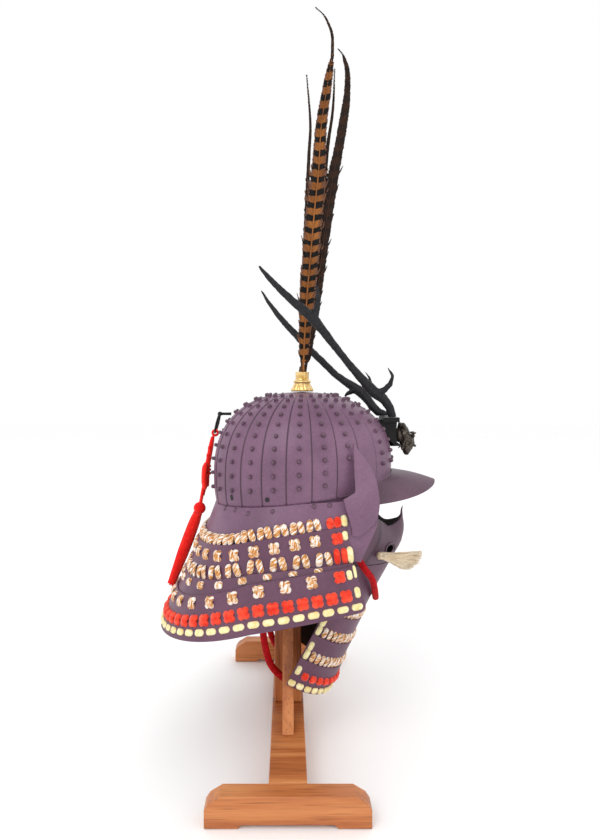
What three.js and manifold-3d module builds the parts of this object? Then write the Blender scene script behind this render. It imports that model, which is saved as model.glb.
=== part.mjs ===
// A samurai helmet (kabuto) with its face mask and throat guard, resting on a plain wooden stand.
// Millimetres, +Z up, the helmet's front towards +X and the wearer's right towards -Y.
import * as THREE from "three";
import { mergeVertices } from "three/addons/utils/BufferGeometryUtils.js";
import Module from "manifold-3d";

const wasm = await Module();
wasm.setup();

// Driving dimensions of the helmet bowl
const BOWL_LENGTH = 243;
const BOWL_WIDTH = 210;
const BOWL_RISE = 133.6;
const BASE_TILT_DEG = 7.05;
const HELMET_HEIGHT = 321.4;
const HELMET_FORWARD = 19.6;
const WALL = 2;
const CLEARANCE = 0.4;
const PLATE_COUNT = 24;
const FRONT_PLATE_EXTRA_DEG = 3;
const BAND_OVERLAP = 8;
const BAND_DROP = 14;

// Rivet studs on the bowl
const STUD_ACROSS = 7;
const STUD_RISE = 4.5;
const STUD_PITCH = 16;
const STUD_FIRST = 19;
const STUD_COUNT = 10;

// Neck guard, visor and turned-back flaps
const LAME_LAP = 10;
const FLAP_WALL = 2;
const VISOR_REACH = 61;
const VISOR_HALF_SPAN = 93;

// Crown fitting and feathers
const SOCKET_RADIUS = 9.4;
const SOCKET_DEPTH = 12;
const FITTING_HEIGHT = 27;
const FITTING_BASE_RADIUS = 15.5;
const FEATHER_HEIGHT = 512;

// Crest, antlers and tassel
const ANTLER_RISE = 192;
const ANTLER_SWEEP = 178;
const ANTLER_SPREAD = 80;
const BRACKET_HALF_WIDTH = 6.5;
const RING_RADIUS = 13.5;
const RING_WIRE = 3.2;
const TASSEL_LENGTH = 112;
const TASSEL_HEAD_RADIUS = 8.6;

// Face mask and throat guard
const MASK_DEPTH = 73;
const MASK_WIDTH = 152;
const MASK_HEIGHT = 58;
const MOUTH_HOLE = 11;
const SPIKE_HEIGHT = 11;
const HAIR_LENGTH = 56;
const THROAT_TILT_DEG = 28;
const THROAT_WIDTH = 134;
const THROAT_DEPTH = 52;
const THROAT_PITCH = 33;
const THROAT_LAME_HEIGHT = 38;
const THROAT_DROP = 86;

// Cords
const CHIN_CORD_DIAMETER = 10;
const MASK_CORD_DIAMETER = 9;

// Stand
const FOOT_LENGTH = 176.5;
const FOOT_THICKNESS = 22;
const FOOT_HEIGHT = 33.6;
const FOOT_PAD = 35;
const FOOT_RECESS = 4;
const STAND_WIDTH = 396;
const BEAM_WIDTH = 42;
const BEAM_THICKNESS = 20;
const POST_LENGTH = 36;
const POST_WIDTH = 26;
const STRUT_THICKNESS = 14;
const STRUT_FOOT_REACH = 91;
const STRUT_RISE = 150;
const STRUT_WIDTH = 26;
const REST_RADIUS = 50;
const REST_THICKNESS = 14;

const HALF_LENGTH = BOWL_LENGTH / 2;
const HALF_WIDTH = BOWL_WIDTH / 2;
const BASE_SLOPE = Math.tan(THREE.MathUtils.degToRad(BASE_TILT_DEG));
const UP = new THREE.Vector3(0, 0, 1);

function material(color, roughness, metalness) {
  return new THREE.MeshStandardMaterial({ color, roughness, metalness });
}

const lacquer = () => material(0x7d5c74, 0.55, 0.1);
const wood = () => material(0xc07548, 0.6, 0);
const horn = () => material(0x3a3a3e, 0.8, 0);
const redSilk = () => material(0xf02a20, 0.8, 0);
const darkRedSilk = () => material(0x8e0a18, 0.9, 0);
const blackIron = () => material(0x252326, 0.5, 0.6);

function vec(x, y, z) {
  return new THREE.Vector3(x, y, z);
}

// Builds a closed geometry from a list of triangles, each three Vector3, facing out.
function closedGeometry(triangles) {
  const positions = [];
  for (const triangle of triangles) {
    for (const p of triangle) positions.push(p.x, p.y, p.z);
  }
  const soup = new THREE.BufferGeometry();
  soup.setAttribute("position", new THREE.Float32BufferAttribute(positions, 3));
  return facingOut(withoutSlivers(mergeVertices(soup, 1e-3)));
}

function withoutSlivers(geometry) {
  const index = geometry.index.array;
  const kept = [];
  for (let i = 0; i < index.length; i += 3) {
    const [a, b, c] = [index[i], index[i + 1], index[i + 2]];
    if (a !== b && b !== c && c !== a) kept.push(a, b, c);
  }
  geometry.setIndex(kept);
  return geometry;
}

function facingOut(geometry) {
  const position = geometry.attributes.position;
  const index = geometry.index.array;
  const [a, b, c] = [vec(0, 0, 0), vec(0, 0, 0), vec(0, 0, 0)];
  let volume = 0;
  for (let i = 0; i < index.length; i += 3) {
    a.fromBufferAttribute(position, index[i]);
    b.fromBufferAttribute(position, index[i + 1]);
    c.fromBufferAttribute(position, index[i + 2]);
    volume += a.dot(b.cross(c));
  }
  if (volume < 0) geometry.setIndex(Array.from(index).reverse());
  return geometry;
}

function quad(a, b, c, d) {
  return [[a, b, c], [a, c, d]];
}

// A wall between two grids of points, outer[row][column] and inner[row][column].
// A wall that runs all the way round has its columns joined end to end.
function wallGeometry(outer, inner, runsRound) {
  const rows = outer.length;
  const columns = outer[0].length;
  const spans = runsRound ? columns : columns - 1;
  const triangles = [];
  for (let j = 0; j < spans; j++) {
    const k = (j + 1) % columns;
    for (let i = 0; i < rows - 1; i++) {
      triangles.push(...quad(outer[i][j], outer[i + 1][j], outer[i + 1][k], outer[i][k]));
      triangles.push(...quad(inner[i][j], inner[i][k], inner[i + 1][k], inner[i + 1][j]));
    }
    const last = rows - 1;
    triangles.push(...quad(outer[0][j], outer[0][k], inner[0][k], inner[0][j]));
    triangles.push(...quad(outer[last][j], inner[last][j], inner[last][k], outer[last][k]));
  }
  if (!runsRound) {
    const end = columns - 1;
    for (let i = 0; i < rows - 1; i++) {
      triangles.push(...quad(outer[i][0], inner[i][0], inner[i + 1][0], outer[i + 1][0]));
      triangles.push(...quad(outer[i][end], outer[i + 1][end], inner[i + 1][end], inner[i][end]));
    }
  }
  return closedGeometry(triangles);
}

// A solid skinned over closed sections, each a list of points, with flat ends.
function skinnedGeometry(sections) {
  const count = sections[0].length;
  const triangles = [];
  for (let i = 0; i < sections.length - 1; i++) {
    for (let j = 0; j < count; j++) {
      const k = (j + 1) % count;
      triangles.push(...quad(sections[i][j], sections[i][k], sections[i + 1][k], sections[i + 1][j]));
    }
  }
  const first = sections[0];
  const last = sections[sections.length - 1];
  for (let j = 1; j < count - 1; j++) {
    triangles.push([first[0], first[j + 1], first[j]]);
    triangles.push([last[0], last[j], last[j + 1]]);
  }
  return closedGeometry(triangles);
}

// A tapered tube through stations of { at, radius }, smoothed along a curve.
function taperedTube(stations, steps, sides, flatten = 1) {
  const curve = new THREE.CatmullRomCurve3(stations.map((s) => s.at), false, "centripetal");
  const frames = curve.computeFrenetFrames(steps, false);
  const sections = [];
  for (let i = 0; i <= steps; i++) {
    const share = i / steps;
    const centre = curve.getPoint(share);
    const radius = radiusAt(stations, share);
    const ring = [];
    for (let j = 0; j < sides; j++) {
      const angle = (2 * Math.PI * j) / sides;
      const point = centre.clone();
      point.addScaledVector(frames.normals[i], Math.cos(angle) * radius);
      point.addScaledVector(frames.binormals[i], Math.sin(angle) * radius * flatten);
      ring.push(point);
    }
    sections.push(ring);
  }
  return skinnedGeometry(sections);
}

function radiusAt(stations, share) {
  const place = share * (stations.length - 1);
  const low = Math.min(Math.floor(place), stations.length - 2);
  return THREE.MathUtils.lerp(stations[low].radius, stations[low + 1].radius, place - low);
}

function solid(geometry) {
  const bare = new THREE.BufferGeometry();
  bare.setAttribute("position", geometry.attributes.position);
  if (geometry.index) bare.setIndex(geometry.index);
  const merged = facingOut(withoutSlivers(mergeVertices(bare, 1e-3)));
  const vertProperties = new Float32Array(merged.attributes.position.array);
  const triVerts = new Uint32Array(merged.index.array);
  return new wasm.Manifold(new wasm.Mesh({ numProp: 3, vertProperties, triVerts }));
}

function geometryOf(manifold) {
  const mesh = manifold.getMesh();
  const geometry = new THREE.BufferGeometry();
  geometry.setAttribute("position", new THREE.BufferAttribute(Float32Array.from(mesh.vertProperties), 3));
  geometry.setIndex(Array.from(mesh.triVerts));
  return geometry;
}

function fuse(geometries) {
  return geometryOf(geometries.map(solid).reduce((sum, next) => sum.add(next)));
}

function cut(geometry, tools) {
  return geometryOf(tools.map(solid).reduce((rest, tool) => rest.subtract(tool), solid(geometry)));
}

function piece(name, geometry, finish) {
  const mesh = new THREE.Mesh(geometry, finish);
  mesh.name = name;
  return mesh;
}

function mirrored(geometry) {
  const copy = geometry.clone();
  copy.scale(1, -1, 1);
  return facingOut(copy);
}

// The bowl's meridian: shares of the half length and of the rise, and how much of the base tilt is left.
const BOWL_PROFILE = [
  { reach: 0.975, rise: 0.0, tilt: 1.0 },
  { reach: 0.994, rise: 0.11, tilt: 0.85 },
  { reach: 1.0, rise: 0.252, tilt: 0.62 },
  { reach: 0.989, rise: 0.401, tilt: 0.4 },
  { reach: 0.945, rise: 0.551, tilt: 0.25 },
  { reach: 0.87, rise: 0.678, tilt: 0.14 },
  { reach: 0.759, rise: 0.79, tilt: 0.07 },
  { reach: 0.618, rise: 0.88, tilt: 0.03 },
  { reach: 0.456, rise: 0.944, tilt: 0.01 },
  { reach: 0.25, rise: 0.984, tilt: 0.0 },
  { reach: 0.0, rise: 1.0, tilt: 0.0 },
];

// A point on the bowl's outside, moved in by inset, at an angle from the front and a profile row.
function bowlPoint(angle, row, inset = 0) {
  const x = Math.cos(angle) * Math.max(row.reach * HALF_LENGTH - inset, 0);
  const y = Math.sin(angle) * Math.max(row.reach * HALF_WIDTH - inset, 0);
  return vec(x, y, row.rise * (BOWL_RISE - inset) + row.tilt * BASE_SLOPE * x);
}

function bowlRings(angles, inset) {
  return BOWL_PROFILE.map((row) => angles.map((angle) => bowlPoint(angle, row, inset)));
}

// Angles of the seams between the plates, with the middle of the wide front plate first.
function plateAngles() {
  const step = 360 / PLATE_COUNT;
  const angles = [0];
  for (let i = 0; i < PLATE_COUNT; i++) {
    const half = (i + 0.5) * step;
    const shift = i < PLATE_COUNT / 2 ? FRONT_PLATE_EXTRA_DEG : -FRONT_PLATE_EXTRA_DEG;
    angles.push(THREE.MathUtils.degToRad(half + shift));
  }
  return angles;
}

// The profile row at a length along the meridian, measured from the base edge.
function profileAt(length) {
  const points = BOWL_PROFILE.map((row) => new THREE.Vector2(row.reach * HALF_LENGTH, row.rise * BOWL_RISE));
  let left = length;
  for (let i = 0; i < points.length - 1; i++) {
    const span = points[i].distanceTo(points[i + 1]);
    if (left <= span) {
      const share = left / span;
      const [low, high] = [BOWL_PROFILE[i], BOWL_PROFILE[i + 1]];
      return {
        reach: THREE.MathUtils.lerp(low.reach, high.reach, share),
        rise: THREE.MathUtils.lerp(low.rise, high.rise, share),
        tilt: THREE.MathUtils.lerp(low.tilt, high.tilt, share),
      };
    }
    left -= span;
  }
  return BOWL_PROFILE[BOWL_PROFILE.length - 1];
}

function bowlNormal(angle, length) {
  const here = bowlPoint(angle, profileAt(length));
  const above = bowlPoint(angle, profileAt(length + 1)).sub(here);
  const beside = bowlPoint(angle + 0.02, profileAt(length)).sub(here);
  return beside.cross(above).normalize();
}

// One stud: a four-sided point, sunk a little into the bowl.
function studGeometry(angle, length) {
  const here = bowlPoint(angle, profileAt(length));
  const sunkShare = WALL / STUD_RISE;
  const stud = new THREE.ConeGeometry((STUD_ACROSS / 2) * (1 + sunkShare / 2), STUD_RISE + WALL, 4);
  stud.rotateX(Math.PI / 2);
  stud.translate(0, 0, (STUD_RISE - WALL) / 2);
  const turn = new THREE.Quaternion().setFromUnitVectors(UP, bowlNormal(angle, length));
  stud.applyQuaternion(turn);
  stud.translate(here.x, here.y, here.z);
  return stud;
}

// Angles of the stud columns: the front plate, then eleven on each side. The narrow back plate has none.
function studAngles() {
  const step = 360 / PLATE_COUNT;
  const angles = [0];
  for (let i = 1; i < PLATE_COUNT / 2; i++) {
    const angle = THREE.MathUtils.degToRad(i * step + FRONT_PLATE_EXTRA_DEG);
    angles.push(angle, -angle);
  }
  return angles;
}

const FRONT_STUDS = [1];
const VISOR_STUDS_DEG = 62;
const FLAP_MIDDLE_DEG = 55;
const FLAP_HALF_DEG = 11.5;
const FLAP_STUDS_FROM = 5;

function studIsShown(angle, row) {
  if (angle === 0) return FRONT_STUDS.includes(row);
  const degrees = Math.abs(THREE.MathUtils.radToDeg(angle));
  const nearVisor = degrees < VISOR_STUDS_DEG && row < 1;
  const underFlap = Math.abs(degrees - FLAP_MIDDLE_DEG) < FLAP_HALF_DEG && row < FLAP_STUDS_FROM;
  return !nearVisor && !underFlap;
}

function bowl() {
  const angles = plateAngles();
  const shell = wallGeometry(bowlRings(angles, 0), bowlRings(angles, WALL), true);
  const studs = [];
  for (const angle of studAngles()) {
    for (let row = 0; row < STUD_COUNT; row++) {
      if (studIsShown(angle, row)) studs.push(studGeometry(angle, STUD_FIRST + row * STUD_PITCH));
    }
  }
  return piece("bowl", fuse([shell, ...studs]), lacquer());
}

// A level ring below the bowl's edge that carries the visor and the neck guard.
function baseBand() {
  const angles = plateAngles();
  const inset = WALL + CLEARANCE;
  const ring = (drop, extra) => angles.map((angle) => {
    const x = Math.cos(angle) * (BOWL_PROFILE[0].reach * HALF_LENGTH - inset - extra);
    const y = Math.sin(angle) * (BOWL_PROFILE[0].reach * HALF_WIDTH - inset - extra);
    return vec(x, y, BASE_SLOPE * x + drop);
  });
  const outer = [ring(-BAND_DROP, 0), ring(BAND_OVERLAP, 0)];
  const inner = [ring(-BAND_DROP, WALL), ring(BAND_OVERLAP, WALL)];
  return piece("base_band", wallGeometry(outer, inner, true), lacquer());
}

// Edges of the neck guard's lames. back, turn and front are shares of the bowl's half length,
// side and corner of its half width, and the rises of the bowl's rise.
const NECK_EDGES = {
  rootTop: {
    back: -0.975, turn: 0, side: 0.975, front: 0.76, corner: 0.924,
    backRise: -0.111, sideRise: -0.003, frontRise: 0.03,
  },
  rootMiddle: {
    back: -1.05, turn: -0.2, side: 1.024, front: 0.724, corner: 0.962,
    backRise: -0.295, sideRise: -0.197, frontRise: -0.217,
  },
  rootBottom: {
    back: -1.164, turn: -0.532, side: 1.067, front: 0.563, corner: 0.986,
    backRise: -0.52, sideRise: -0.4, frontRise: -0.53,
  },
  secondTop: {
    back: -1.157, turn: -0.532, side: 1.076, front: 0.415, corner: 1.014,
    backRise: -0.444, sideRise: -0.327, frontRise: -0.199,
  },
  thirdTop: {
    back: -1.297, turn: -0.532, side: 1.154, front: 0.464, corner: 1.078,
    backRise: -0.766, sideRise: -0.596, frontRise: -0.514,
  },
  fourthTop: {
    back: -1.401, turn: -0.532, side: 1.229, front: 0.481, corner: 1.133,
    backRise: -0.938, sideRise: -0.667, frontRise: -0.528,
  },
  fourthBottom: {
    back: -1.577, turn: -0.532, side: 1.381, front: 0.604, corner: 1.219,
    backRise: -1.297, sideRise: -1.058, frontRise: -0.902,
  },
};
const FRONT_SPANS = 4;
const BACK_SPANS = 10;

// Half of an edge, from its front corner round to the middle of the back, as points with normals.
function halfEdge(edge, length, width, rise) {
  const stations = [];
  for (let j = 0; j < FRONT_SPANS; j++) {
    const share = j / FRONT_SPANS;
    const ease = (1 - share) * (1 - share);
    const x = THREE.MathUtils.lerp(edge.front, edge.turn, share) * length;
    const y = THREE.MathUtils.lerp(edge.side, edge.corner, ease) * width;
    const z = THREE.MathUtils.lerp(edge.frontRise, edge.sideRise, share) * rise;
    stations.push({ at: vec(x, -y, z), out: vec(0, -1, 0) });
  }
  for (let j = 0; j <= BACK_SPANS; j++) {
    const angle = (Math.PI / 2) * (1 - j / BACK_SPANS);
    const reach = (edge.turn - edge.back) * length;
    const x = edge.turn * length - reach * Math.cos(angle);
    const y = edge.side * width * Math.sin(angle);
    const z = THREE.MathUtils.lerp(edge.sideRise, edge.backRise, Math.cos(angle)) * rise;
    const out = vec(-Math.cos(angle) / reach, -Math.sin(angle) / (edge.side * width), 0).normalize();
    stations.push({ at: vec(x, -y, z), out });
  }
  return stations;
}

function wholeEdge(half) {
  const other = half.slice(0, -1).reverse().map((station) => ({
    at: vec(station.at.x, -station.at.y, station.at.z),
    out: vec(station.out.x, -station.out.y, station.out.z),
  }));
  return [...half, ...other];
}

// The lower edge of a lame that laps inside the next one, clear of its top edge and of its wall.
function lappedEdge(top, nextTop, nextBottom) {
  return top.map((station, j) => {
    const out = nextTop[j].out;
    const gap = WALL + CLEARANCE;
    const passing = nextTop[j].at.clone().addScaledVector(out, -gap);
    const down = passing.clone().sub(station.at);
    const beyond = passing.clone().addScaledVector(down.clone().normalize(), LAME_LAP);
    const share = LAME_LAP / nextTop[j].at.distanceTo(nextBottom[j].at);
    const behind = nextTop[j].at.clone().lerp(nextBottom[j].at, share).addScaledVector(out, -gap);
    const proud = beyond.clone().sub(behind).dot(out);
    return { at: proud > 0 ? behind : beyond, out };
  });
}

function lameWall(rows) {
  const outer = rows.map((row) => row.map((station) => station.at));
  const inside = (station) => station.at.clone().addScaledVector(station.out, -WALL);
  const inner = rows.map((row) => row.map(inside));
  return wallGeometry(outer, inner, false);
}

function neckGuard() {
  const edge = (name) => wholeEdge(halfEdge(NECK_EDGES[name], HALF_LENGTH, HALF_WIDTH, BOWL_RISE));
  const fourth = [edge("fourthTop"), edge("fourthBottom")];
  const third = [edge("thirdTop"), lappedEdge(edge("thirdTop"), ...fourth)];
  const second = [edge("secondTop"), lappedEdge(edge("secondTop"), ...third)];
  const first = [edge("rootTop"), edge("rootMiddle"), edge("rootBottom")];
  const lames = [first, second, third, fourth];
  return lames.map((rows, i) => piece(`neck_lame_${i + 1}`, lameWall(rows), lacquer()));
}

// The visor: from its root on the bowl's front, as shares across from the middle to the side.
const VISOR_ROOT_DEG = 52;
const VISOR_ROOT_RISE = 0.207;
const VISOR_ROOT_DROP = 0.125;
const VISOR_TIP_RISE = 0.108;
const VISOR_EDGE_DROP = 0.12;
const VISOR_SIDE_REACH = 0.745;
const VISOR_COLUMNS = 20;
const VISOR_ROWS = 3;

function visorRoot(across) {
  const angle = THREE.MathUtils.degToRad(VISOR_ROOT_DEG) * across;
  const rise = VISOR_ROOT_RISE - VISOR_ROOT_DROP * across * across;
  const share = THREE.MathUtils.clamp(rise / 0.252, 0, 1);
  const reach = THREE.MathUtils.lerp(0.985, 1.002, share);
  const gap = CLEARANCE + 0.5;
  const x = Math.cos(angle) * (reach * HALF_LENGTH + gap);
  return vec(x, Math.sin(angle) * (reach * HALF_WIDTH + gap), rise * BOWL_RISE);
}

function visorEdge(across) {
  const spread = Math.abs(across);
  const tip = HALF_LENGTH + VISOR_REACH;
  const x = tip - (tip - VISOR_SIDE_REACH * HALF_LENGTH) * Math.pow(spread, 1.8);
  const drop = VISOR_EDGE_DROP * Math.pow(Math.sin((spread * Math.PI) / 2), 1.3);
  return vec(x, across * VISOR_HALF_SPAN, (VISOR_TIP_RISE - drop) * BOWL_RISE);
}

function visor() {
  const rows = [];
  for (let i = 0; i <= VISOR_ROWS; i++) {
    const share = i / VISOR_ROWS;
    const row = [];
    for (let j = 0; j <= VISOR_COLUMNS; j++) {
      const across = (2 * j) / VISOR_COLUMNS - 1;
      const point = visorRoot(across).lerp(visorEdge(across), share);
      point.z += 3 * Math.sin(Math.PI * share) * (1 - Math.abs(across));
      row.push(point);
    }
    rows.push(row);
  }
  const under = rows.map((row) => row.map((point) => point.clone().setZ(point.z - WALL)));
  return piece("visor", wallGeometry(rows, under, false), lacquer());
}

// Sections of a turned-back flap from its bottom up. back and front are shares of the bowl's half
// length, backOut and frontOut of its half width, and rise of its rise.
const FLAP_SECTIONS = [
  { rise: -0.284, back: 0.472, front: 0.562, backOut: 1.02, frontOut: 1.01 },
  { rise: -0.217, back: 0.474, front: 0.673, backOut: 1.033, frontOut: 0.99 },
  { rise: -0.122, back: 0.435, front: 0.737, backOut: 1.06, frontOut: 0.99 },
  { rise: -0.018, back: 0.404, front: 0.751, backOut: 1.064, frontOut: 0.99 },
  { rise: 0.046, back: 0.384, front: 0.747, backOut: 1.058, frontOut: 0.99 },
  { rise: 0.105, back: 0.505, front: 0.739, backOut: 1.03, frontOut: 0.99 },
  { rise: 0.192, back: 0.505, front: 0.723, backOut: 1.0, frontOut: 0.986 },
  { rise: 0.294, back: 0.498, front: 0.69, backOut: 0.976, frontOut: 0.971 },
  { rise: 0.375, back: 0.495, front: 0.639, backOut: 0.957, frontOut: 0.952 },
  { rise: 0.461, back: 0.49, front: 0.557, backOut: 0.933, frontOut: 0.928 },
  { rise: 0.532, back: 0.488, front: 0.502, backOut: 0.905, frontOut: 0.905 },
];
const FLAP_COLUMNS = 5;
const FLAP_BULGE = 0.03;

function flapGeometry() {
  const outer = FLAP_SECTIONS.map((section) => {
    const row = [];
    for (let j = 0; j <= FLAP_COLUMNS; j++) {
      const share = j / FLAP_COLUMNS;
      const x = THREE.MathUtils.lerp(section.back, section.front, share) * HALF_LENGTH;
      const out = THREE.MathUtils.lerp(section.backOut, section.frontOut, share);
      const bulge = FLAP_BULGE * Math.sin(Math.PI * share);
      row.push(vec(x, -(out + bulge) * HALF_WIDTH, section.rise * BOWL_RISE));
    }
    return row;
  });
  const inner = outer.map((row) => row.map((point) => point.clone().setY(point.y + FLAP_WALL)));
  return wallGeometry(outer, inner, false);
}

function flaps() {
  const right = flapGeometry();
  return [piece("flap_right", right, lacquer()), piece("flap_left", mirrored(right), lacquer())];
}

// The gilt crown fitting: petals at its foot, a collar, and a socket for the feathers.
function crownFitting() {
  const seat = BOWL_RISE + CLEARANCE;
  const rim = FITTING_BASE_RADIUS;
  const socketWall = 1.4;
  const points = [
    [0, seat],
    [rim * 0.5, seat],
    [rim, seat + 1],
    [rim, seat + 3],
    [rim * 0.78, seat + 9],
    [SOCKET_RADIUS * 1.1, seat + 11],
    [SOCKET_RADIUS * 1.28, seat + 12.5],
    [SOCKET_RADIUS * 1.28, seat + 14.5],
    [SOCKET_RADIUS, seat + 16],
    [SOCKET_RADIUS, seat + FITTING_HEIGHT],
    [SOCKET_RADIUS - socketWall, seat + FITTING_HEIGHT],
    [SOCKET_RADIUS - socketWall, seat + FITTING_HEIGHT - SOCKET_DEPTH],
    [0, seat + FITTING_HEIGHT - SOCKET_DEPTH],
  ].map(([r, z]) => new THREE.Vector2(r, z));
  const turned = new THREE.LatheGeometry(points, 16);
  turned.rotateX(Math.PI / 2);
  return piece("crown_fitting", geometryOf(solid(turned)), material(0xf0cf8a, 0.3, 0.9));
}

// Feathers, each a flat tapered strip. rise is a share of the feathers' height, shift of it too,
// and width is in millimetres.
const FEATHER_SHAPES = [
  { depth: -3, stations: [
    { rise: 0.0, shift: 0.002, width: 5 }, { rise: 0.06, shift: 0.004, width: 12 },
    { rise: 0.14, shift: 0.008, width: 18 }, { rise: 0.26, shift: 0.016, width: 23 },
    { rise: 0.42, shift: 0.03, width: 24 }, { rise: 0.56, shift: 0.044, width: 19 },
    { rise: 0.68, shift: 0.051, width: 15.5 }, { rise: 0.78, shift: 0.066, width: 12.5 },
    { rise: 0.86, shift: 0.079, width: 7.5 }, { rise: 0.92, shift: 0.081, width: 6 },
    { rise: 0.965, shift: 0.066, width: 4.5 }, { rise: 1.0, shift: 0.035, width: 1.6 }] },
  { depth: 0.6, stations: [
    { rise: 0.0, shift: 0.006, width: 5 }, { rise: 0.08, shift: 0.018, width: 9 },
    { rise: 0.2, shift: 0.038, width: 10 }, { rise: 0.36, shift: 0.056, width: 15 },
    { rise: 0.5, shift: 0.076, width: 15.5 }, { rise: 0.62, shift: 0.098, width: 13 },
    { rise: 0.7, shift: 0.112, width: 12 }, { rise: 0.77, shift: 0.121, width: 9 },
    { rise: 0.83, shift: 0.122, width: 7 }, { rise: 0.87, shift: 0.112, width: 5 },
    { rise: 0.893, shift: 0.096, width: 1.6 }] },
  { depth: -1.2, stations: [
    { rise: 0.0, shift: -0.002, width: 3 }, { rise: 0.3, shift: 0.006, width: 6 },
    { rise: 0.6, shift: 0.018, width: 4 }, { rise: 0.68, shift: 0.022, width: 3 },
    { rise: 0.82, shift: 0.012, width: 1.2 }] },
  { depth: 2.6, stations: [
    { rise: 0.0, shift: 0.004, width: 3 }, { rise: 0.3, shift: 0.045, width: 6 },
    { rise: 0.6, shift: 0.066, width: 4.5 }, { rise: 0.72, shift: 0.082, width: 3.2 },
    { rise: 0.84, shift: 0.088, width: 1.4 }] },
];
const VANE_THICKNESS = 1.8;
const QUILL_RADIUS = 5;

function featherStrip(shape, footZ) {
  const sections = shape.stations.map((station) => {
    const x = station.shift * FEATHER_HEIGHT;
    const z = footZ + station.rise * FEATHER_HEIGHT;
    const half = station.width / 2;
    const thin = Math.min(VANE_THICKNESS / 2, half);
    return [
      vec(x + half, shape.depth, z), vec(x, shape.depth + thin, z),
      vec(x - half, shape.depth, z), vec(x, shape.depth - thin, z),
    ];
  });
  return skinnedGeometry(sections);
}

function feathers() {
  const footZ = BOWL_RISE + CLEARANCE + FITTING_HEIGHT - SOCKET_DEPTH + CLEARANCE;
  const quill = new THREE.CylinderGeometry(QUILL_RADIUS * 0.9, QUILL_RADIUS, SOCKET_DEPTH + 6, 8);
  quill.rotateX(Math.PI / 2);
  quill.translate(0, 0, footZ + (SOCKET_DEPTH + 6) / 2);
  const strips = FEATHER_SHAPES.map((shape) => featherStrip(shape, footZ + 1));
  return piece("feathers", fuse([quill, ...strips]), material(0x9a5a2c, 0.8, 0));
}

// The crest: a bracket on the bowl's front, a beast's head and two antlers.
const BRACKET_TOP_RISE = 0.7;
const BRACKET_LOW_RISE = 0.4;
const BRACKET_REACH = 0.148;
const ANTLER_ROOT_OUT = 13;

function bowlFront(rise) {
  const rows = BOWL_PROFILE;
  const next = Math.max(rows.findIndex((row) => row.rise >= rise), 1);
  const share = (rise - rows[next - 1].rise) / (rows[next].rise - rows[next - 1].rise);
  const row = {
    reach: THREE.MathUtils.lerp(rows[next - 1].reach, rows[next].reach, share),
    rise,
    tilt: THREE.MathUtils.lerp(rows[next - 1].tilt, rows[next].tilt, share),
  };
  return bowlPoint(0, row);
}

function crestBracket() {
  const between = BOWL_PROFILE.map((row) => row.rise)
    .filter((rise) => rise > BRACKET_LOW_RISE && rise < BRACKET_TOP_RISE);
  const backEdge = [BRACKET_LOW_RISE, ...between, BRACKET_TOP_RISE].map((rise) => bowlFront(rise));
  const reach = BRACKET_REACH * HALF_LENGTH;
  const outline = new THREE.Shape();
  backEdge.forEach((point, i) => {
    const x = point.x + CLEARANCE + 0.4;
    if (i === 0) outline.moveTo(x, point.z);
    else outline.lineTo(x, point.z);
  });
  const top = backEdge[backEdge.length - 1];
  const low = backEdge[0];
  outline.lineTo(top.x + reach * 1.5, top.z);
  outline.lineTo(low.x + reach * 0.5, low.z + 24);
  outline.lineTo(low.x + reach * 0.5, low.z + 6);
  outline.lineTo(low.x + reach * 0.72, low.z + 3);
  outline.lineTo(low.x + reach * 0.72, low.z);
  const web = new THREE.ExtrudeGeometry(outline, { depth: 2 * BRACKET_HALF_WIDTH, bevelEnabled: false });
  web.translate(0, 0, -BRACKET_HALF_WIDTH);
  web.rotateX(Math.PI / 2);
  const barLength = reach * 1.25;
  const bar = new THREE.BoxGeometry(barLength, 2 * (ANTLER_ROOT_OUT + BRACKET_HALF_WIDTH), 6);
  bar.translate(top.x + STUD_RISE + 1 + barLength / 2, 0, top.z + 1);
  return piece("crest_bracket", fuse([web, bar]), blackIron());
}

// Level sections of the beast's head: drop and the rest are shares of its height.
const HEAD_HEIGHT = 44;
const HEAD_SECTIONS = [
  { drop: 0.0, forward: 0.06, half: 0.09, width: 0.16 },
  { drop: 0.16, forward: 0.1, half: 0.17, width: 0.27 },
  { drop: 0.34, forward: 0.14, half: 0.2, width: 0.3 },
  { drop: 0.52, forward: 0.22, half: 0.24, width: 0.25 },
  { drop: 0.66, forward: 0.25, half: 0.24, width: 0.2 },
  { drop: 0.82, forward: 0.23, half: 0.17, width: 0.17 },
  { drop: 1.0, forward: 0.22, half: 0.06, width: 0.09 },
];

function headTop() {
  const top = bowlFront(BRACKET_TOP_RISE);
  return vec(top.x + BRACKET_REACH * HALF_LENGTH * 1.5 + 4, 0, top.z - 4.2);
}

function crestHead() {
  const origin = headTop();
  const sections = HEAD_SECTIONS.map((section) => {
    const ring = [];
    for (let j = 0; j < 10; j++) {
      const angle = (2 * Math.PI * j) / 10;
      const x = origin.x + (section.forward + section.half * Math.cos(angle)) * HEAD_HEIGHT;
      const y = section.width * Math.sin(angle) * HEAD_HEIGHT;
      ring.push(vec(x, y, origin.z - section.drop * HEAD_HEIGHT));
    }
    return ring;
  });
  const ears = [-1, 1].map((side) => taperedTube([
    { at: vec(origin.x + 5, side * 7, origin.z - 9), radius: 3.6 },
    { at: vec(origin.x + 4, side * 13, origin.z - 4), radius: 3 },
    { at: vec(origin.x + 2, side * 18, origin.z + 1), radius: 0.7 },
  ], 3, 6));
  return piece("crest_head", fuse([skinnedGeometry(sections), ...ears]), material(0x6b6055, 0.45, 0.7));
}

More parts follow.
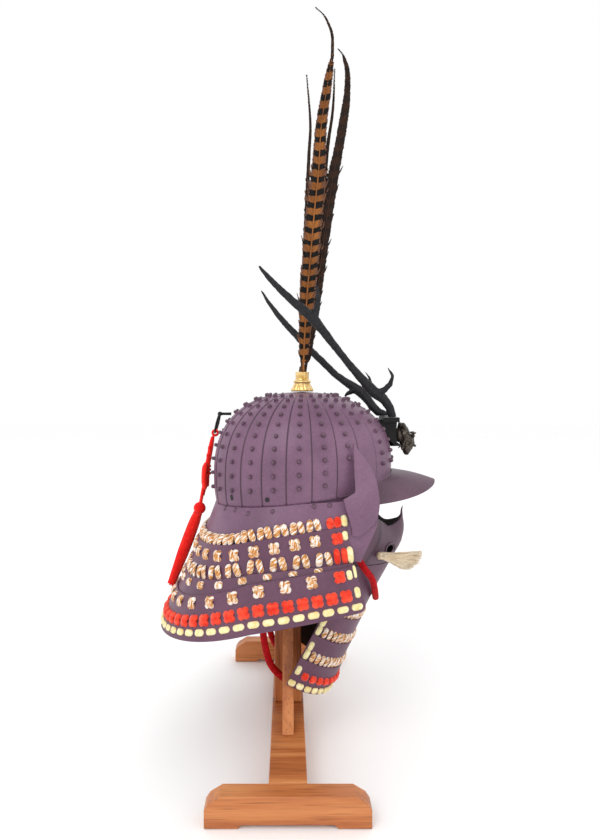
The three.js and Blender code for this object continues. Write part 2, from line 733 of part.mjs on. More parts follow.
// Antler stations: back and up from the root as shares of the sweep and rise, out as a share of
// the spread, and the radius in millimetres. Each branch starts inside the beam.
const RIGHT_ANTLER = {
  beam: [
    { back: 0.0, up: 0.0, out: 0.0, radius: 6 }, { back: 0.05, up: 0.105, out: 0.1, radius: 6.5 },
    { back: 0.155, up: 0.175, out: 0.28, radius: 8 }, { back: 0.3, up: 0.31, out: 0.43, radius: 5.4 },
    { back: 0.39, up: 0.405, out: 0.51, radius: 5 }, { back: 0.5, up: 0.53, out: 0.59, radius: 5.4 },
    { back: 0.605, up: 0.65, out: 0.66, radius: 7 }, { back: 0.675, up: 0.71, out: 0.71, radius: 6.6 },
    { back: 0.76, up: 0.77, out: 0.77, radius: 5.4 }, { back: 0.92, up: 0.905, out: 0.88, radius: 4 },
    { back: 1.0, up: 0.99, out: 0.95, radius: 1.6 }],
  branches: [
    [{ back: 0.62, up: 0.63, out: 0.66, radius: 5.5 }, { back: 0.59, up: 0.74, out: 0.69, radius: 4.4 },
      { back: 0.585, up: 0.83, out: 0.71, radius: 3 }, { back: 0.603, up: 0.9, out: 0.74, radius: 0.8 }],
    [{ back: 0.14, up: 0.17, out: 0.27, radius: 6 }, { back: 0.085, up: 0.195, out: 0.33, radius: 4.8 },
      { back: 0.045, up: 0.235, out: 0.36, radius: 3.8 }, { back: 0.03, up: 0.29, out: 0.38, radius: 2.6 },
      { back: 0.068, up: 0.345, out: 0.41, radius: 0.8 }],
  ],
};
const LEFT_ANTLER = {
  beam: [
    { back: 0.02, up: 0.0, out: 0.0, radius: 6 }, { back: 0.1, up: 0.04, out: 0.1, radius: 6.5 },
    { back: 0.145, up: 0.1, out: 0.18, radius: 6.5 }, { back: 0.2, up: 0.17, out: 0.31, radius: 8.4 },
    { back: 0.3, up: 0.235, out: 0.43, radius: 6.6 }, { back: 0.39, up: 0.295, out: 0.53, radius: 5.4 },
    { back: 0.52, up: 0.415, out: 0.63, radius: 5.4 }, { back: 0.645, up: 0.53, out: 0.71, radius: 5.6 },
    { back: 0.74, up: 0.63, out: 0.78, radius: 5.6 }, { back: 0.82, up: 0.71, out: 0.83, radius: 5 },
    { back: 0.945, up: 0.855, out: 0.93, radius: 3.8 }, { back: 1.03, up: 0.985, out: 1.0, radius: 1.4 }],
  branches: [
    [{ back: 0.7, up: 0.58, out: 0.75, radius: 5 }, { back: 0.675, up: 0.68, out: 0.79, radius: 3.8 },
      { back: 0.685, up: 0.76, out: 0.81, radius: 2.6 }, { back: 0.7, up: 0.82, out: 0.84, radius: 0.8 }],
    [{ back: 0.19, up: 0.17, out: 0.31, radius: 6 }, { back: 0.135, up: 0.215, out: 0.36, radius: 4 },
      { back: 0.125, up: 0.265, out: 0.38, radius: 2.6 }, { back: 0.17, up: 0.33, out: 0.41, radius: 0.8 }],
    [{ back: 0.24, up: 0.19, out: 0.34, radius: 5 }, { back: 0.31, up: 0.165, out: 0.37, radius: 3.4 },
      { back: 0.335, up: 0.14, out: 0.38, radius: 1.4 }],
  ],
};

function antlerGeometry(shape, side) {
  const top = bowlFront(BRACKET_TOP_RISE);
  const rootX = top.x + BRACKET_REACH * HALF_LENGTH * 0.5 + 10.5;
  const rootZ = top.z + 4 + CLEARANCE;
  const place = (station) => ({
    at: vec(
      rootX - station.back * ANTLER_SWEEP,
      side * (ANTLER_ROOT_OUT + station.out * ANTLER_SPREAD),
      rootZ + station.up * ANTLER_RISE,
    ),
    radius: station.radius,
  });
  const beam = taperedTube(shape.beam.map(place), 15, 7);
  const branches = shape.branches.map((branch) => taperedTube(branch.map(place), 4, 5));
  const floor = new THREE.BoxGeometry(60, 60, 20);
  floor.translate(rootX, side * ANTLER_ROOT_OUT, rootZ - 10);
  return cut(fuse([beam, ...branches]), [floor]);
}

function antlers() {
  return [
    piece("antler_right", antlerGeometry(RIGHT_ANTLER, -1), horn()),
    piece("antler_left", antlerGeometry(LEFT_ANTLER, 1), horn()),
  ];
}

// The ring at the back of the bowl, with the staple that holds it.
const RING_RISE = 0.66;
const RING_LEAN_DEG = 14;

function bowlBack(rise) {
  const front = bowlFront(rise);
  return vec(-front.x, 0, front.z);
}

function ringCentre() {
  const back = bowlBack(RING_RISE);
  return vec(back.x - STUD_RISE - 5.5, 0, back.z);
}

function tasselRing() {
  const centre = ringCentre();
  const lean = THREE.MathUtils.degToRad(RING_LEAN_DEG);
  const ring = new THREE.TorusGeometry(RING_RADIUS, RING_WIRE / 2, 6, 16);
  ring.rotateY(Math.PI / 2 + lean);
  ring.translate(centre.x, centre.y, centre.z);
  const top = vec(centre.x + RING_RADIUS * Math.sin(lean), 0, centre.z + RING_RADIUS * Math.cos(lean));
  const seat = bowlBack(RING_RISE + RING_RADIUS / BOWL_RISE);
  const knob = new THREE.SphereGeometry(3.6, 8, 6);
  knob.translate(top.x, top.y, top.z);
  const stem = taperedTube([
    { at: top, radius: 2.2 },
    { at: vec((top.x + seat.x) / 2, 0, top.z), radius: 2.2 },
    { at: vec(seat.x - CLEARANCE - 1.8, 0, top.z), radius: 2.4 },
  ], 2, 6);
  return piece("tassel_ring", fuse([ring, knob, stem]), blackIron());
}

// The red tassel at the back: a cord from the ring, a knot with loops, a round head and its locks.
const TASSEL_CORD = 4.4;
const LOCK_COUNT = 6;
const TASSEL_HEAD_BACK = 1.165;
const TASSEL_HEAD_RISE = -0.2;
const TASSEL_LEAN_DEG = 20.5;

function tassel() {
  const ring = ringCentre();
  const lean = THREE.MathUtils.degToRad(RING_LEAN_DEG);
  const start = vec(ring.x - (RING_RADIUS + RING_WIRE) * Math.sin(lean) - 2, 0, ring.z - RING_RADIUS - 4.6);
  const head = vec(-TASSEL_HEAD_BACK * HALF_LENGTH, 0, TASSEL_HEAD_RISE * BOWL_RISE);
  const middle = start.clone().lerp(head, 0.45);
  const cord = taperedTube([
    { at: start, radius: TASSEL_CORD / 2 + 1 },
    { at: start.clone().lerp(head, 0.16), radius: TASSEL_CORD / 2 + 2.4 },
    { at: middle, radius: TASSEL_CORD / 2 + 3 },
    { at: start.clone().lerp(head, 0.75), radius: TASSEL_CORD / 2 },
    { at: head, radius: TASSEL_CORD / 2 },
  ], 8, 6);
  const loops = [-1, 1].map((side) => taperedTube([
    { at: middle, radius: TASSEL_CORD / 2 },
    { at: middle.clone().add(vec(0, side * 12, 8)), radius: TASSEL_CORD / 2 },
    { at: middle.clone().add(vec(-1, side * 17, -4)), radius: TASSEL_CORD / 2 },
    { at: middle.clone().add(vec(-1, side * 11, -26)), radius: TASSEL_CORD / 2 },
    { at: middle.clone().add(vec(0, side * 3, -6)), radius: TASSEL_CORD / 2 },
  ], 8, 5));
  const ball = new THREE.SphereGeometry(TASSEL_HEAD_RADIUS, 10, 6);
  ball.translate(head.x, head.y, head.z);
  return piece("tassel", fuse([cord, ...loops, ball, ...tasselLocks(head)]), redSilk());
}

function tasselLocks(head) {
  const lean = THREE.MathUtils.degToRad(TASSEL_LEAN_DEG);
  const down = vec(-Math.sin(lean), 0, -Math.cos(lean));
  const locks = [];
  for (let i = 0; i < LOCK_COUNT; i++) {
    const angle = (2 * Math.PI * i) / LOCK_COUNT;
    const side = vec(Math.cos(angle) * Math.cos(lean), Math.sin(angle), -Math.cos(angle) * Math.sin(lean));
    const along = (share, spread) => head.clone()
      .addScaledVector(down, share * TASSEL_LENGTH)
      .addScaledVector(side, spread);
    locks.push(taperedTube([
      { at: along(0.02, 2.5), radius: 3.2 },
      { at: along(0.16, 4), radius: 3.4 },
      { at: along(0.6, 4.2), radius: 3.2 },
      { at: along(1, 3), radius: 2.2 },
    ], 3, 6));
  }
  return locks;
}

// Stations of the face mask from the nose to the cheek. spread is a share of half its width,
// reach of its depth, and rise of its height, measured from its chin.
const MASK_STATIONS = [
  { spread: 0.0, topReach: 1.0, topRise: 1.0, lowReach: 0.78, lowRise: 0.0, bulge: 9 },
  { spread: 0.1, topReach: 0.93, topRise: 0.88, lowReach: 0.775, lowRise: 0.0, bulge: 8 },
  { spread: 0.29, topReach: 0.72, topRise: 0.79, lowReach: 0.72, lowRise: 0.01, bulge: 7 },
  { spread: 0.47, topReach: 0.57, topRise: 0.93, lowReach: 0.6, lowRise: 0.02, bulge: 6 },
  { spread: 0.68, topReach: 0.43, topRise: 1.08, lowReach: 0.4, lowRise: 0.06, bulge: 5 },
  { spread: 0.88, topReach: 0.23, topRise: 1.2, lowReach: 0.16, lowRise: 0.12, bulge: 3 },
  { spread: 1.0, topReach: 0.0, topRise: 1.24, lowReach: -0.08, lowRise: 0.16, bulge: 0 },
];
const MASK_ROWS = 6;
const MASK_BACK = 0.535;
const MASK_CHIN_RISE = -0.69;

function maskOrigin() {
  return vec(MASK_BACK * HALF_LENGTH, 0, MASK_CHIN_RISE * BOWL_RISE);
}

function maskColumns() {
  const right = MASK_STATIONS.slice(1).reverse().map((station) => ({ ...station, side: -1 }));
  const left = MASK_STATIONS.map((station) => ({ ...station, side: 1 }));
  return [...right, ...left];
}

function maskPoint(column, share, inset) {
  const origin = maskOrigin();
  const across = column.side * column.spread * (MASK_WIDTH / 2);
  const reach = THREE.MathUtils.lerp(column.topReach, column.lowReach, share) * MASK_DEPTH;
  const rise = THREE.MathUtils.lerp(column.topRise, column.lowRise, share) * MASK_HEIGHT;
  const out = vec(1 - column.spread, column.side * column.spread, 0).normalize();
  const bulge = column.bulge * Math.sin(Math.PI * share);
  return vec(origin.x + reach, across, origin.z + rise).addScaledVector(out, bulge - inset);
}

function faceMask() {
  const columns = maskColumns();
  const grid = (inset) => {
    const rows = [];
    for (let i = 0; i <= MASK_ROWS; i++) {
      rows.push(columns.map((column) => maskPoint(column, i / MASK_ROWS, inset)));
    }
    return rows;
  };
  const plate = wallGeometry(grid(0), grid(WALL), false);
  const origin = maskOrigin();
  const noseTop = maskPoint(columns[(columns.length - 1) / 2], 0, WALL / 2);
  const spike = taperedTube([
    { at: noseTop.clone().add(vec(0, 0, -3)), radius: 1.9 },
    { at: noseTop.clone().add(vec(0.2, 0, SPIKE_HEIGHT / 2)), radius: 1.2 },
    { at: noseTop.clone().add(vec(1.6, 0, SPIKE_HEIGHT)), radius: 0.5 },
  ], 3, 6);
  const hole = new THREE.CylinderGeometry(MOUTH_HOLE / 2, MOUTH_HOLE / 2, MASK_WIDTH * 1.2, 14);
  hole.translate(origin.x + 0.69 * MASK_DEPTH, 0, origin.z + 0.32 * MASK_HEIGHT);
  return piece("face_mask", cut(fuse([plate, spike]), [hole]), material(0x5c4250, 0.5, 0.1));
}

// The horsehair moustache: locks that fan out forwards from a pad on each side of the lip.
const HAIR_LOCKS = [
  { forward: 0.96, side: 0.2, rise: 0.13 },
  { forward: 0.98, side: 0.24, rise: 0.02 },
  { forward: 0.93, side: 0.26, rise: -0.1 },
  { forward: 0.86, side: 0.28, rise: -0.22 },
  { forward: 0.74, side: 0.3, rise: -0.33 },
  { forward: 0.52, side: 0.3, rise: -0.3 },
];
const HAIR_ROOT_SHARE = 0.78;

function moustacheGeometry() {
  const columns = maskColumns();
  const lip = columns.find((column) => column.side === -1 && column.spread === 0.68);
  const out = vec(1 - lip.spread, -lip.spread, 0).normalize();
  const root = maskPoint(lip, HAIR_ROOT_SHARE, 0).addScaledVector(out, 4.6 + CLEARANCE);
  const pad = new THREE.SphereGeometry(4.4, 7, 5);
  pad.translate(root.x, root.y, root.z);
  const locks = HAIR_LOCKS.map((lock) => {
    const tip = root.clone().add(vec(lock.forward, -lock.side, lock.rise).multiplyScalar(HAIR_LENGTH));
    const bend = root.clone().lerp(tip, 0.5).add(vec(2, -4, 1));
    return taperedTube([
      { at: root, radius: 2.6 }, { at: bend, radius: 4 }, { at: tip, radius: 3.2 },
    ], 2, 5, 0.7);
  });
  return fuse([pad, ...locks]);
}

function moustache() {
  const right = moustacheGeometry();
  const hair = () => material(0xe0cba6, 0.9, 0);
  return [piece("moustache_right", right, hair()), piece("moustache_left", mirrored(right), hair())];
}

// The throat guard hangs from the chin at a tilt, its lames curved round the throat. The first
// reaches from the mask's lower edge, and each next one laps outside the one above.
const THROAT_BACK = 0.12;
const THROAT_STEP_OUT = 2.8;
const THROAT_LAMES = 4;
const THROAT_FLARE = 0.15;
const THROAT_BEND_SHARE = 0.45;

function throatEdge(drop, step) {
  const origin = maskOrigin();
  const chin = vec(origin.x + MASK_STATIONS[0].lowReach * MASK_DEPTH - WALL, 0, origin.z);
  const tilt = THREE.MathUtils.degToRad(THROAT_TILT_DEG);
  const depth = THROAT_DEPTH + step * THROAT_STEP_OUT;
  const width = THROAT_WIDTH / 2 + step * THROAT_STEP_OUT;
  const last = MASK_STATIONS.length - 1;
  const stations = [];
  for (let j = -last; j <= last; j++) {
    const angle = ((Math.PI / 2) * j) / last;
    const straight = Math.abs(j) === last ? THROAT_BACK * depth : 0;
    const at = vec(depth * Math.cos(angle) - straight - THROAT_DEPTH, width * Math.sin(angle), -drop);
    at.applyAxisAngle(vec(0, 1, 0), tilt).add(chin);
    const out = vec(Math.cos(angle) / depth, Math.sin(angle) / width, 0).normalize();
    stations.push({ at, out: out.applyAxisAngle(vec(0, 1, 0), tilt) });
  }
  return stations;
}

function underMask() {
  return maskColumns().map((column) => {
    const out = vec(1 - column.spread, column.side * column.spread, 0).normalize();
    return { at: maskPoint(column, 1, 0).add(vec(0, 0, -2 * CLEARANCE)), out };
  });
}

function throatGuard() {
  const lap = THROAT_LAME_HEIGHT - THROAT_PITCH;
  const middle = throatEdge(THROAT_DROP * THROAT_BEND_SHARE, 0);
  const lames = [lameWall([underMask(), middle, throatEdge(THROAT_DROP + lap, THROAT_FLARE)])];
  for (let i = 1; i < THROAT_LAMES; i++) {
    const drop = THROAT_DROP + (i - 1) * THROAT_PITCH;
    lames.push(lameWall([throatEdge(drop, i), throatEdge(drop + THROAT_LAME_HEIGHT, i + THROAT_FLARE)]));
  }
  return lames.map((geometry, i) => piece(`throat_lame_${i + 1}`, geometry, lacquer()));
}

// A free cord through hand-chosen points, as an eight-sided tube.
function cordGeometry(points, diameter, steps) {
  const curve = new THREE.CatmullRomCurve3(points.map(([x, y, z]) => vec(x, y, z)), false, "centripetal");
  const section = new THREE.Shape();
  for (let j = 0; j < 8; j++) {
    const angle = (2 * Math.PI * j) / 8;
    const [x, y] = [Math.cos(angle) * (diameter / 2), Math.sin(angle) * (diameter / 2)];
    if (j === 0) section.moveTo(x, y);
    else section.lineTo(x, y);
  }
  section.closePath();
  return new THREE.ExtrudeGeometry(section, { steps, bevelEnabled: false, extrudePath: curve });
}

// Routes in the stand's own frame: X forward of the post, Z above the floor.
const CHIN_CORD_ROUTE = [
  [-62, 0.2, 332], [-56, 32, 329], [-38, 63.5, 320], [-11, 87.6, 308], [-20, 84, 270], [-28, 71, 222],
  [-32, 58, 172], [-31, 48, 133], [-21, 40, 95], [0, 34, 74], [24, 21, 61], [32, 0, 57],
  [24, -21, 61], [0, -34, 74], [-21, -40, 95], [-31, -48, 133], [-32, -58, 172], [-28, -71, 222],
  [-20, -84, 270], [-11, -87.6, 308], [-38, -63.5, 320], [-56, -32, 329], [-62, -0.2, 332],
];
const MASK_CORD_ROUTE = [
  [62, -86, 312], [68, -84, 290], [80, -82, 262], [94, -80, 238], [106, -71, 220], [111, -58, 204],
  [114.5, -42, 190], [117.5, -22, 180], [119.5, 0, 177], [117.5, 22, 180], [114.5, 42, 190], [111, 58, 204],
  [106, 71, 220], [94, 80, 238], [80, 82, 262], [68, 84, 290], [62, 86, 312],
];
const CHIN_CORD_STEPS = 52;
const MASK_CORD_STEPS = 26;

// The stand: two feet, a beam, a post, two struts and a plain head rest.
function footGeometry() {
  const half = FOOT_LENGTH / 2;
  const chamfer = { x: 18, z: 14.5 };
  const recessStep = 5;
  const outline = new THREE.Shape();
  outline.moveTo(-half, 0);
  outline.lineTo(-half + FOOT_PAD, 0);
  outline.lineTo(-half + FOOT_PAD + recessStep, FOOT_RECESS);
  outline.lineTo(half - FOOT_PAD - recessStep, FOOT_RECESS);
  outline.lineTo(half - FOOT_PAD, 0);
  outline.lineTo(half, 0);
  outline.lineTo(half, FOOT_HEIGHT - chamfer.z);
  outline.lineTo(half - chamfer.x * 0.25, FOOT_HEIGHT - chamfer.z * 0.55);
  outline.lineTo(half - chamfer.x, FOOT_HEIGHT);
  outline.lineTo(-half + chamfer.x, FOOT_HEIGHT);
  outline.lineTo(-half + chamfer.x * 0.25, FOOT_HEIGHT - chamfer.z * 0.55);
  outline.lineTo(-half, FOOT_HEIGHT - chamfer.z);
  const foot = new THREE.ExtrudeGeometry(outline, { depth: FOOT_THICKNESS, bevelEnabled: false });
  foot.rotateX(Math.PI / 2);
  return foot;
}

function box(length, width, height, x, y, z) {
  const geometry = new THREE.BoxGeometry(length, width, height);
  geometry.translate(x, y, z + height / 2);
  return geometry;
}

function strutGeometry(side) {
  const slant = Math.hypot(STRUT_FOOT_REACH - POST_WIDTH / 2, STRUT_RISE);
  const footSpan = (STRUT_WIDTH * slant) / STRUT_RISE;
  const rise = STRUT_RISE + footSpan;
  const outline = new THREE.Shape();
  outline.moveTo(STRUT_FOOT_REACH, FOOT_HEIGHT + CLEARANCE);
  outline.lineTo(POST_WIDTH / 2 + CLEARANCE, FOOT_HEIGHT + rise);
  outline.lineTo(POST_WIDTH / 2 + CLEARANCE, FOOT_HEIGHT + rise - 2.2 * STRUT_WIDTH);
  outline.lineTo(STRUT_FOOT_REACH - footSpan, FOOT_HEIGHT + CLEARANCE);
  const strut = new THREE.ExtrudeGeometry(outline, { depth: STRUT_THICKNESS, bevelEnabled: false });
  strut.rotateX(Math.PI / 2);
  strut.rotateZ(Math.PI / 2);
  strut.translate(-STRUT_THICKNESS / 2, 0, 0);
  return side > 0 ? strut : mirrored(geometryOf(solid(strut)));
}

// The height inside the bowl over a point of the stand's frame, at or behind the bowl's middle.
function innerHeight(x) {
  const share = Math.abs(x - HELMET_FORWARD) / (HALF_LENGTH - WALL);
  const rows = BOWL_PROFILE;
  const next = rows.findIndex((row, i) => i > 2 && row.reach <= share);
  const [low, high] = [rows[next - 1], rows[next]];
  const part = (share - low.reach) / (high.reach - low.reach);
  return HELMET_HEIGHT + THREE.MathUtils.lerp(low.rise, high.rise, part) * (BOWL_RISE - WALL);
}

function stand() {
  const footOffset = STAND_WIDTH / 2;
  const right = footGeometry();
  right.translate(0, -footOffset + FOOT_THICKNESS, 0);
  const left = footGeometry();
  left.translate(0, footOffset, 0);
  const beamLength = STAND_WIDTH - 2 * FOOT_THICKNESS - 2 * CLEARANCE;
  const beam = box(BEAM_WIDTH, beamLength, BEAM_THICKNESS, 0, 0, FOOT_HEIGHT - BEAM_THICKNESS);
  const restTop = innerHeight(-REST_RADIUS) - 2 * CLEARANCE;
  const restLow = restTop - REST_THICKNESS;
  const postHeight = restLow - FOOT_HEIGHT - 2 * CLEARANCE;
  const post = box(POST_LENGTH, POST_WIDTH, postHeight, 0, 0, FOOT_HEIGHT + CLEARANCE);
  const rest = new THREE.CylinderGeometry(REST_RADIUS * 0.94, REST_RADIUS, REST_THICKNESS, 24);
  rest.rotateX(Math.PI / 2);
  rest.translate(0, 0, restLow + REST_THICKNESS / 2);
  return [
    piece("stand_foot_right", right, wood()),
    piece("stand_foot_left", left, wood()),
    piece("stand_beam", beam, wood()),
    piece("stand_post", post, wood()),
    piece("stand_strut_right", strutGeometry(-1), wood()),
    piece("stand_strut_left", strutGeometry(1), wood()),
    piece("stand_head_rest", rest, wood()),
  ];
}

const helmet = new THREE.Group();
helmet.position.set(HELMET_FORWARD, 0, HELMET_HEIGHT);
helmet.add(bowl(), baseBand(), ...neckGuard(), visor(), ...flaps(), crownFitting(), feathers());
helmet.add(crestBracket(), crestHead(), ...antlers(), tasselRing(), tassel());
helmet.add(faceMask(), ...moustache(), ...throatGuard());

const whole = new THREE.Group();
whole.add(helmet, ...stand());
const chinCord = cordGeometry(CHIN_CORD_ROUTE, CHIN_CORD_DIAMETER, CHIN_CORD_STEPS);
const maskCord = cordGeometry(MASK_CORD_ROUTE, MASK_CORD_DIAMETER, MASK_CORD_STEPS);
whole.add(piece("chin_cord", chinCord, darkRedSilk()), piece("mask_cord", maskCord, darkRedSilk()));

// The origin is on the floor, under the middle of the whole thing's outline.
whole.updateMatrixWorld(true);
const outline = new THREE.Box3().setFromObject(whole, true);
whole.position.set(-(outline.min.x + outline.max.x) / 2, -(outline.min.y + outline.max.y) / 2, 0);

const kabuto = new THREE.Group();
kabuto.add(whole);
export default kabuto;
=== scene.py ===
"""A samurai helmet (kabuto) with face mask and throat guard, on its plain wooden stand."""
import math

import bmesh
import bpy
import numpy as np
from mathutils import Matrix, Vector
from mathutils.bvhtree import BVHTree


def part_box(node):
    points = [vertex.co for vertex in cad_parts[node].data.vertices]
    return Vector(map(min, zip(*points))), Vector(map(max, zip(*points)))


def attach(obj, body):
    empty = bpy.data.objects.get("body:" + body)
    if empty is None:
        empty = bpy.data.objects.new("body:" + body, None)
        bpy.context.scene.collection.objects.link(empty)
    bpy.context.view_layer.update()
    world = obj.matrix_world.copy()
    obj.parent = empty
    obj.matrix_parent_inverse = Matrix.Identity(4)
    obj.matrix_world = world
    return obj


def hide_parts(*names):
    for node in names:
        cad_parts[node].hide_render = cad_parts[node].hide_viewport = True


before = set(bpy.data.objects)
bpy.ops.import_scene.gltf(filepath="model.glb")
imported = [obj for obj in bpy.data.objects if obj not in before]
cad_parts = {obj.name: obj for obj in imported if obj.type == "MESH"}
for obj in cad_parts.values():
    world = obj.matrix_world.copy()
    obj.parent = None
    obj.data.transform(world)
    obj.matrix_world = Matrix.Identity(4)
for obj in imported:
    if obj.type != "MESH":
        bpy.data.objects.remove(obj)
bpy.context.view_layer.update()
rng = np.random.default_rng(7)
MM = 0.001

# The stand's post is the origin of the cords' routes, and the helmet's origin is measured from it
beam_low, beam_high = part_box("stand_beam")
STAND = np.array([(beam_low[0] + beam_high[0]) / 2, 0, 0])
HELMET = STAND + np.array([0.0196, 0, 0.3214])

# Sizes shared with the solids, in metres
HALF_LENGTH = 0.1215
HALF_WIDTH = 0.105
BOWL_RISE = 0.1336
BASE_SLOPE = math.tan(math.radians(7.05))
WALL = 0.002
LAME_GAP = 0.0004
LAME_LAP = 0.010
BEAM_TOP = 0.0345

# Camera, level and at the photo's distance
CAMERA_DISTANCE = 0.815
CAMERA_HEIGHT = 0.4645


def make_camera():
    data = bpy.data.cameras.new("camera")
    data.lens = 25.3
    data.sensor_width = 36
    data.shift_x = 0.0143
    data.shift_y = -0.0417
    data.clip_start = 0.01
    camera = bpy.data.objects.new("camera", data)
    camera.location = (STAND[0], -CAMERA_DISTANCE, CAMERA_HEIGHT)
    camera.rotation_euler = (math.pi / 2, 0, 0)
    bpy.context.collection.objects.link(camera)
    bpy.context.scene.camera = camera


make_camera()


# Curves, grids and tubes
def unit(vectors):
    vectors = np.asarray(vectors, float)
    return vectors / np.linalg.norm(vectors, axis=-1, keepdims=True)


def smooth_line(points, per_span):
    """Centripetal Catmull-Rom points through the given ones."""
    given = np.asarray(points, float)
    given = np.vstack([2 * given[0] - given[1], given, 2 * given[-1] - given[-2]])
    made = []
    for i in range(1, len(given) - 2):
        p0, p1, p2, p3 = given[i - 1:i + 3]
        t0 = 0.0
        t1 = t0 + max(np.linalg.norm(p1 - p0), 1e-9) ** 0.5
        t2 = t1 + max(np.linalg.norm(p2 - p1), 1e-9) ** 0.5
        t3 = t2 + max(np.linalg.norm(p3 - p2), 1e-9) ** 0.5
        t = np.linspace(t1, t2, per_span, endpoint=False)[:, None]
        a1 = (t1 - t) / (t1 - t0) * p0 + (t - t0) / (t1 - t0) * p1
        a2 = (t2 - t) / (t2 - t1) * p1 + (t - t1) / (t2 - t1) * p2
        a3 = (t3 - t) / (t3 - t2) * p2 + (t - t2) / (t3 - t2) * p3
        b1 = (t2 - t) / (t2 - t0) * a1 + (t - t0) / (t2 - t0) * a2
        b2 = (t3 - t) / (t3 - t1) * a2 + (t - t1) / (t3 - t1) * a3
        made.append((t2 - t) / (t2 - t1) * b1 + (t - t1) / (t2 - t1) * b2)
    made.append(given[-2][None])
    return np.vstack(made)


def lengths_along(points):
    return np.r_[0, np.cumsum(np.linalg.norm(np.diff(points, axis=0), axis=1))]


def point_at(points, along, arc):
    """The point at a length along a line, or the points at several lengths."""
    return np.stack([np.interp(arc, along, points[:, k]) for k in range(points.shape[1])], axis=-1)


def evenly(points, count):
    """The same line with its points evenly spaced."""
    along = lengths_along(points)
    return point_at(points, along, np.linspace(0, along[-1], count))


def grid_faces(rows, columns, wraps=False):
    i = np.arange(rows - 1)[:, None]
    j = np.arange(columns if wraps else columns - 1)[None, :]
    k = (j + 1) % columns
    corners = [i * columns + j, (i + 1) * columns + j, (i + 1) * columns + k, i * columns + k]
    return np.stack([c + 0 * i + 0 * j for c in corners], -1).reshape(-1, 4)


def capped_faces(rings, sides):
    """The faces of a tube of rings, with both of its ends closed."""
    last = rings * sides - 1
    faces = [tuple(face) for face in grid_faces(rings, sides, True)]
    return faces + [tuple(range(sides)), tuple(range(last, last - sides, -1))]


def shell(outer, inner, wraps=False):
    """A closed wall between two grids of points, [row, column, xyz]."""
    rows, columns = outer.shape[:2]
    half = rows * columns
    faces = [grid_faces(rows, columns, wraps), grid_faces(rows, columns, wraps)[:, ::-1] + half]
    j = np.arange(columns if wraps else columns - 1)
    k = (j + 1) % columns
    last = (rows - 1) * columns
    faces.append(np.stack([j, k, k + half, j + half], 1))
    faces.append(np.stack([last + j, last + j + half, last + k + half, last + k], 1))
    if not wraps:
        low = np.arange(rows - 1) * columns
        high = low + columns
        end = columns - 1
        faces.append(np.stack([low, low + half, high + half, high], 1))
        faces.append(np.stack([low + end, high + end, high + end + half, low + end + half], 1))
    return np.vstack([outer.reshape(-1, 3), inner.reshape(-1, 3)]), np.vstack(faces)


def tube(points, radii, sides=8, flat=1.0, up=None):
    """A closed tube along points. Where up is given, it is flattened along up."""
    points = np.asarray(points, float)
    radii = np.broadcast_to(radii, len(points))
    tangents = unit(np.gradient(points, axis=0))
    turn = np.arange(sides) * 2 * np.pi / sides
    guide = np.array([0.3, 0.2, 0.93]) if up is None else np.asarray(up, float)
    rings = []
    for point, tangent, radius in zip(points, tangents, radii):
        normal = unit(guide - tangent * guide.dot(tangent))
        if up is None:
            guide = normal
        side = np.cross(tangent, normal)
        ring = np.cos(turn)[:, None] * side + flat * np.sin(turn)[:, None] * normal
        rings.append(point + radius * ring)
    along = np.repeat(lengths_along(points) / MM, sides)
    around = np.tile(np.arange(sides) / sides, len(points))
    return np.vstack(rings), capped_faces(len(points), sides), along, around


class Shape:
    """Gathers vertices and faces, with one mark of three numbers for each vertex."""

    def __init__(self):
        self.verts = []
        self.faces = []
        self.marks = []
        self.count = 0

    def add(self, verts, faces, mark=(0, 0, 0)):
        verts = np.asarray(verts, float)
        self.verts.append(verts)
        self.marks.append(np.broadcast_to(np.asarray(mark, float), (len(verts), 3)))
        self.faces.extend(tuple(int(i) + self.count for i in face) for face in faces)
        self.count += len(verts)

    def add_tube(self, points, radii, sides=8, flat=1.0, up=None, tone=0.0):
        verts, faces, along, around = tube(points, radii, sides, flat, up)
        marks = np.stack([np.full(len(verts), tone), along, around], axis=1)
        self.add(verts, faces, marks)

    def mirror(self):
        """Adds the same again on the other side of the middle."""
        verts = np.vstack(self.verts) * (1, -1, 1)
        self.add(verts, [face[::-1] for face in self.faces], np.vstack(self.marks))

    def piece(self, name, paint, slot, *nodes, bevel=0.0):
        mesh = bpy.data.meshes.new(name)
        mesh.from_pydata(np.vstack(self.verts).tolist(), [], self.faces)
        attribute = mesh.attributes.new("mark", "FLOAT_VECTOR", "POINT")
        attribute.data.foreach_set("vector", np.vstack(self.marks).ravel())
        face_outwards(mesh)
        piece = bpy.data.objects.new(name, mesh)
        bpy.context.collection.objects.link(piece)
        finish_piece(piece, paint, bevel)
        if nodes:
            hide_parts(*nodes)
        return piece


def face_outwards(mesh):
    edit = bmesh.new()
    edit.from_mesh(mesh)
    bmesh.ops.recalc_face_normals(edit, faces=edit.faces)
    edit.to_mesh(mesh)
    edit.free()


def soften_edges(piece, width):
    modifier = piece.modifiers.new("edges", "BEVEL")
    modifier.width = width
    modifier.segments = 3
    modifier.limit_method = "ANGLE"
    modifier.angle_limit = math.radians(50)
    return modifier


def finish_piece(piece, paint, bevel=0.0, levels=0):
    mesh = piece.data
    mesh.materials.clear()
    mesh.materials.append(paint)
    mesh.polygons.foreach_set("use_smooth", [True] * len(mesh.polygons))
    if levels:
        modifier = piece.modifiers.new("smooth", "SUBSURF")
        modifier.levels = modifier.render_levels = levels
    if bevel:
        soften_edges(piece, bevel).harden_normals = True
    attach(piece, "root")


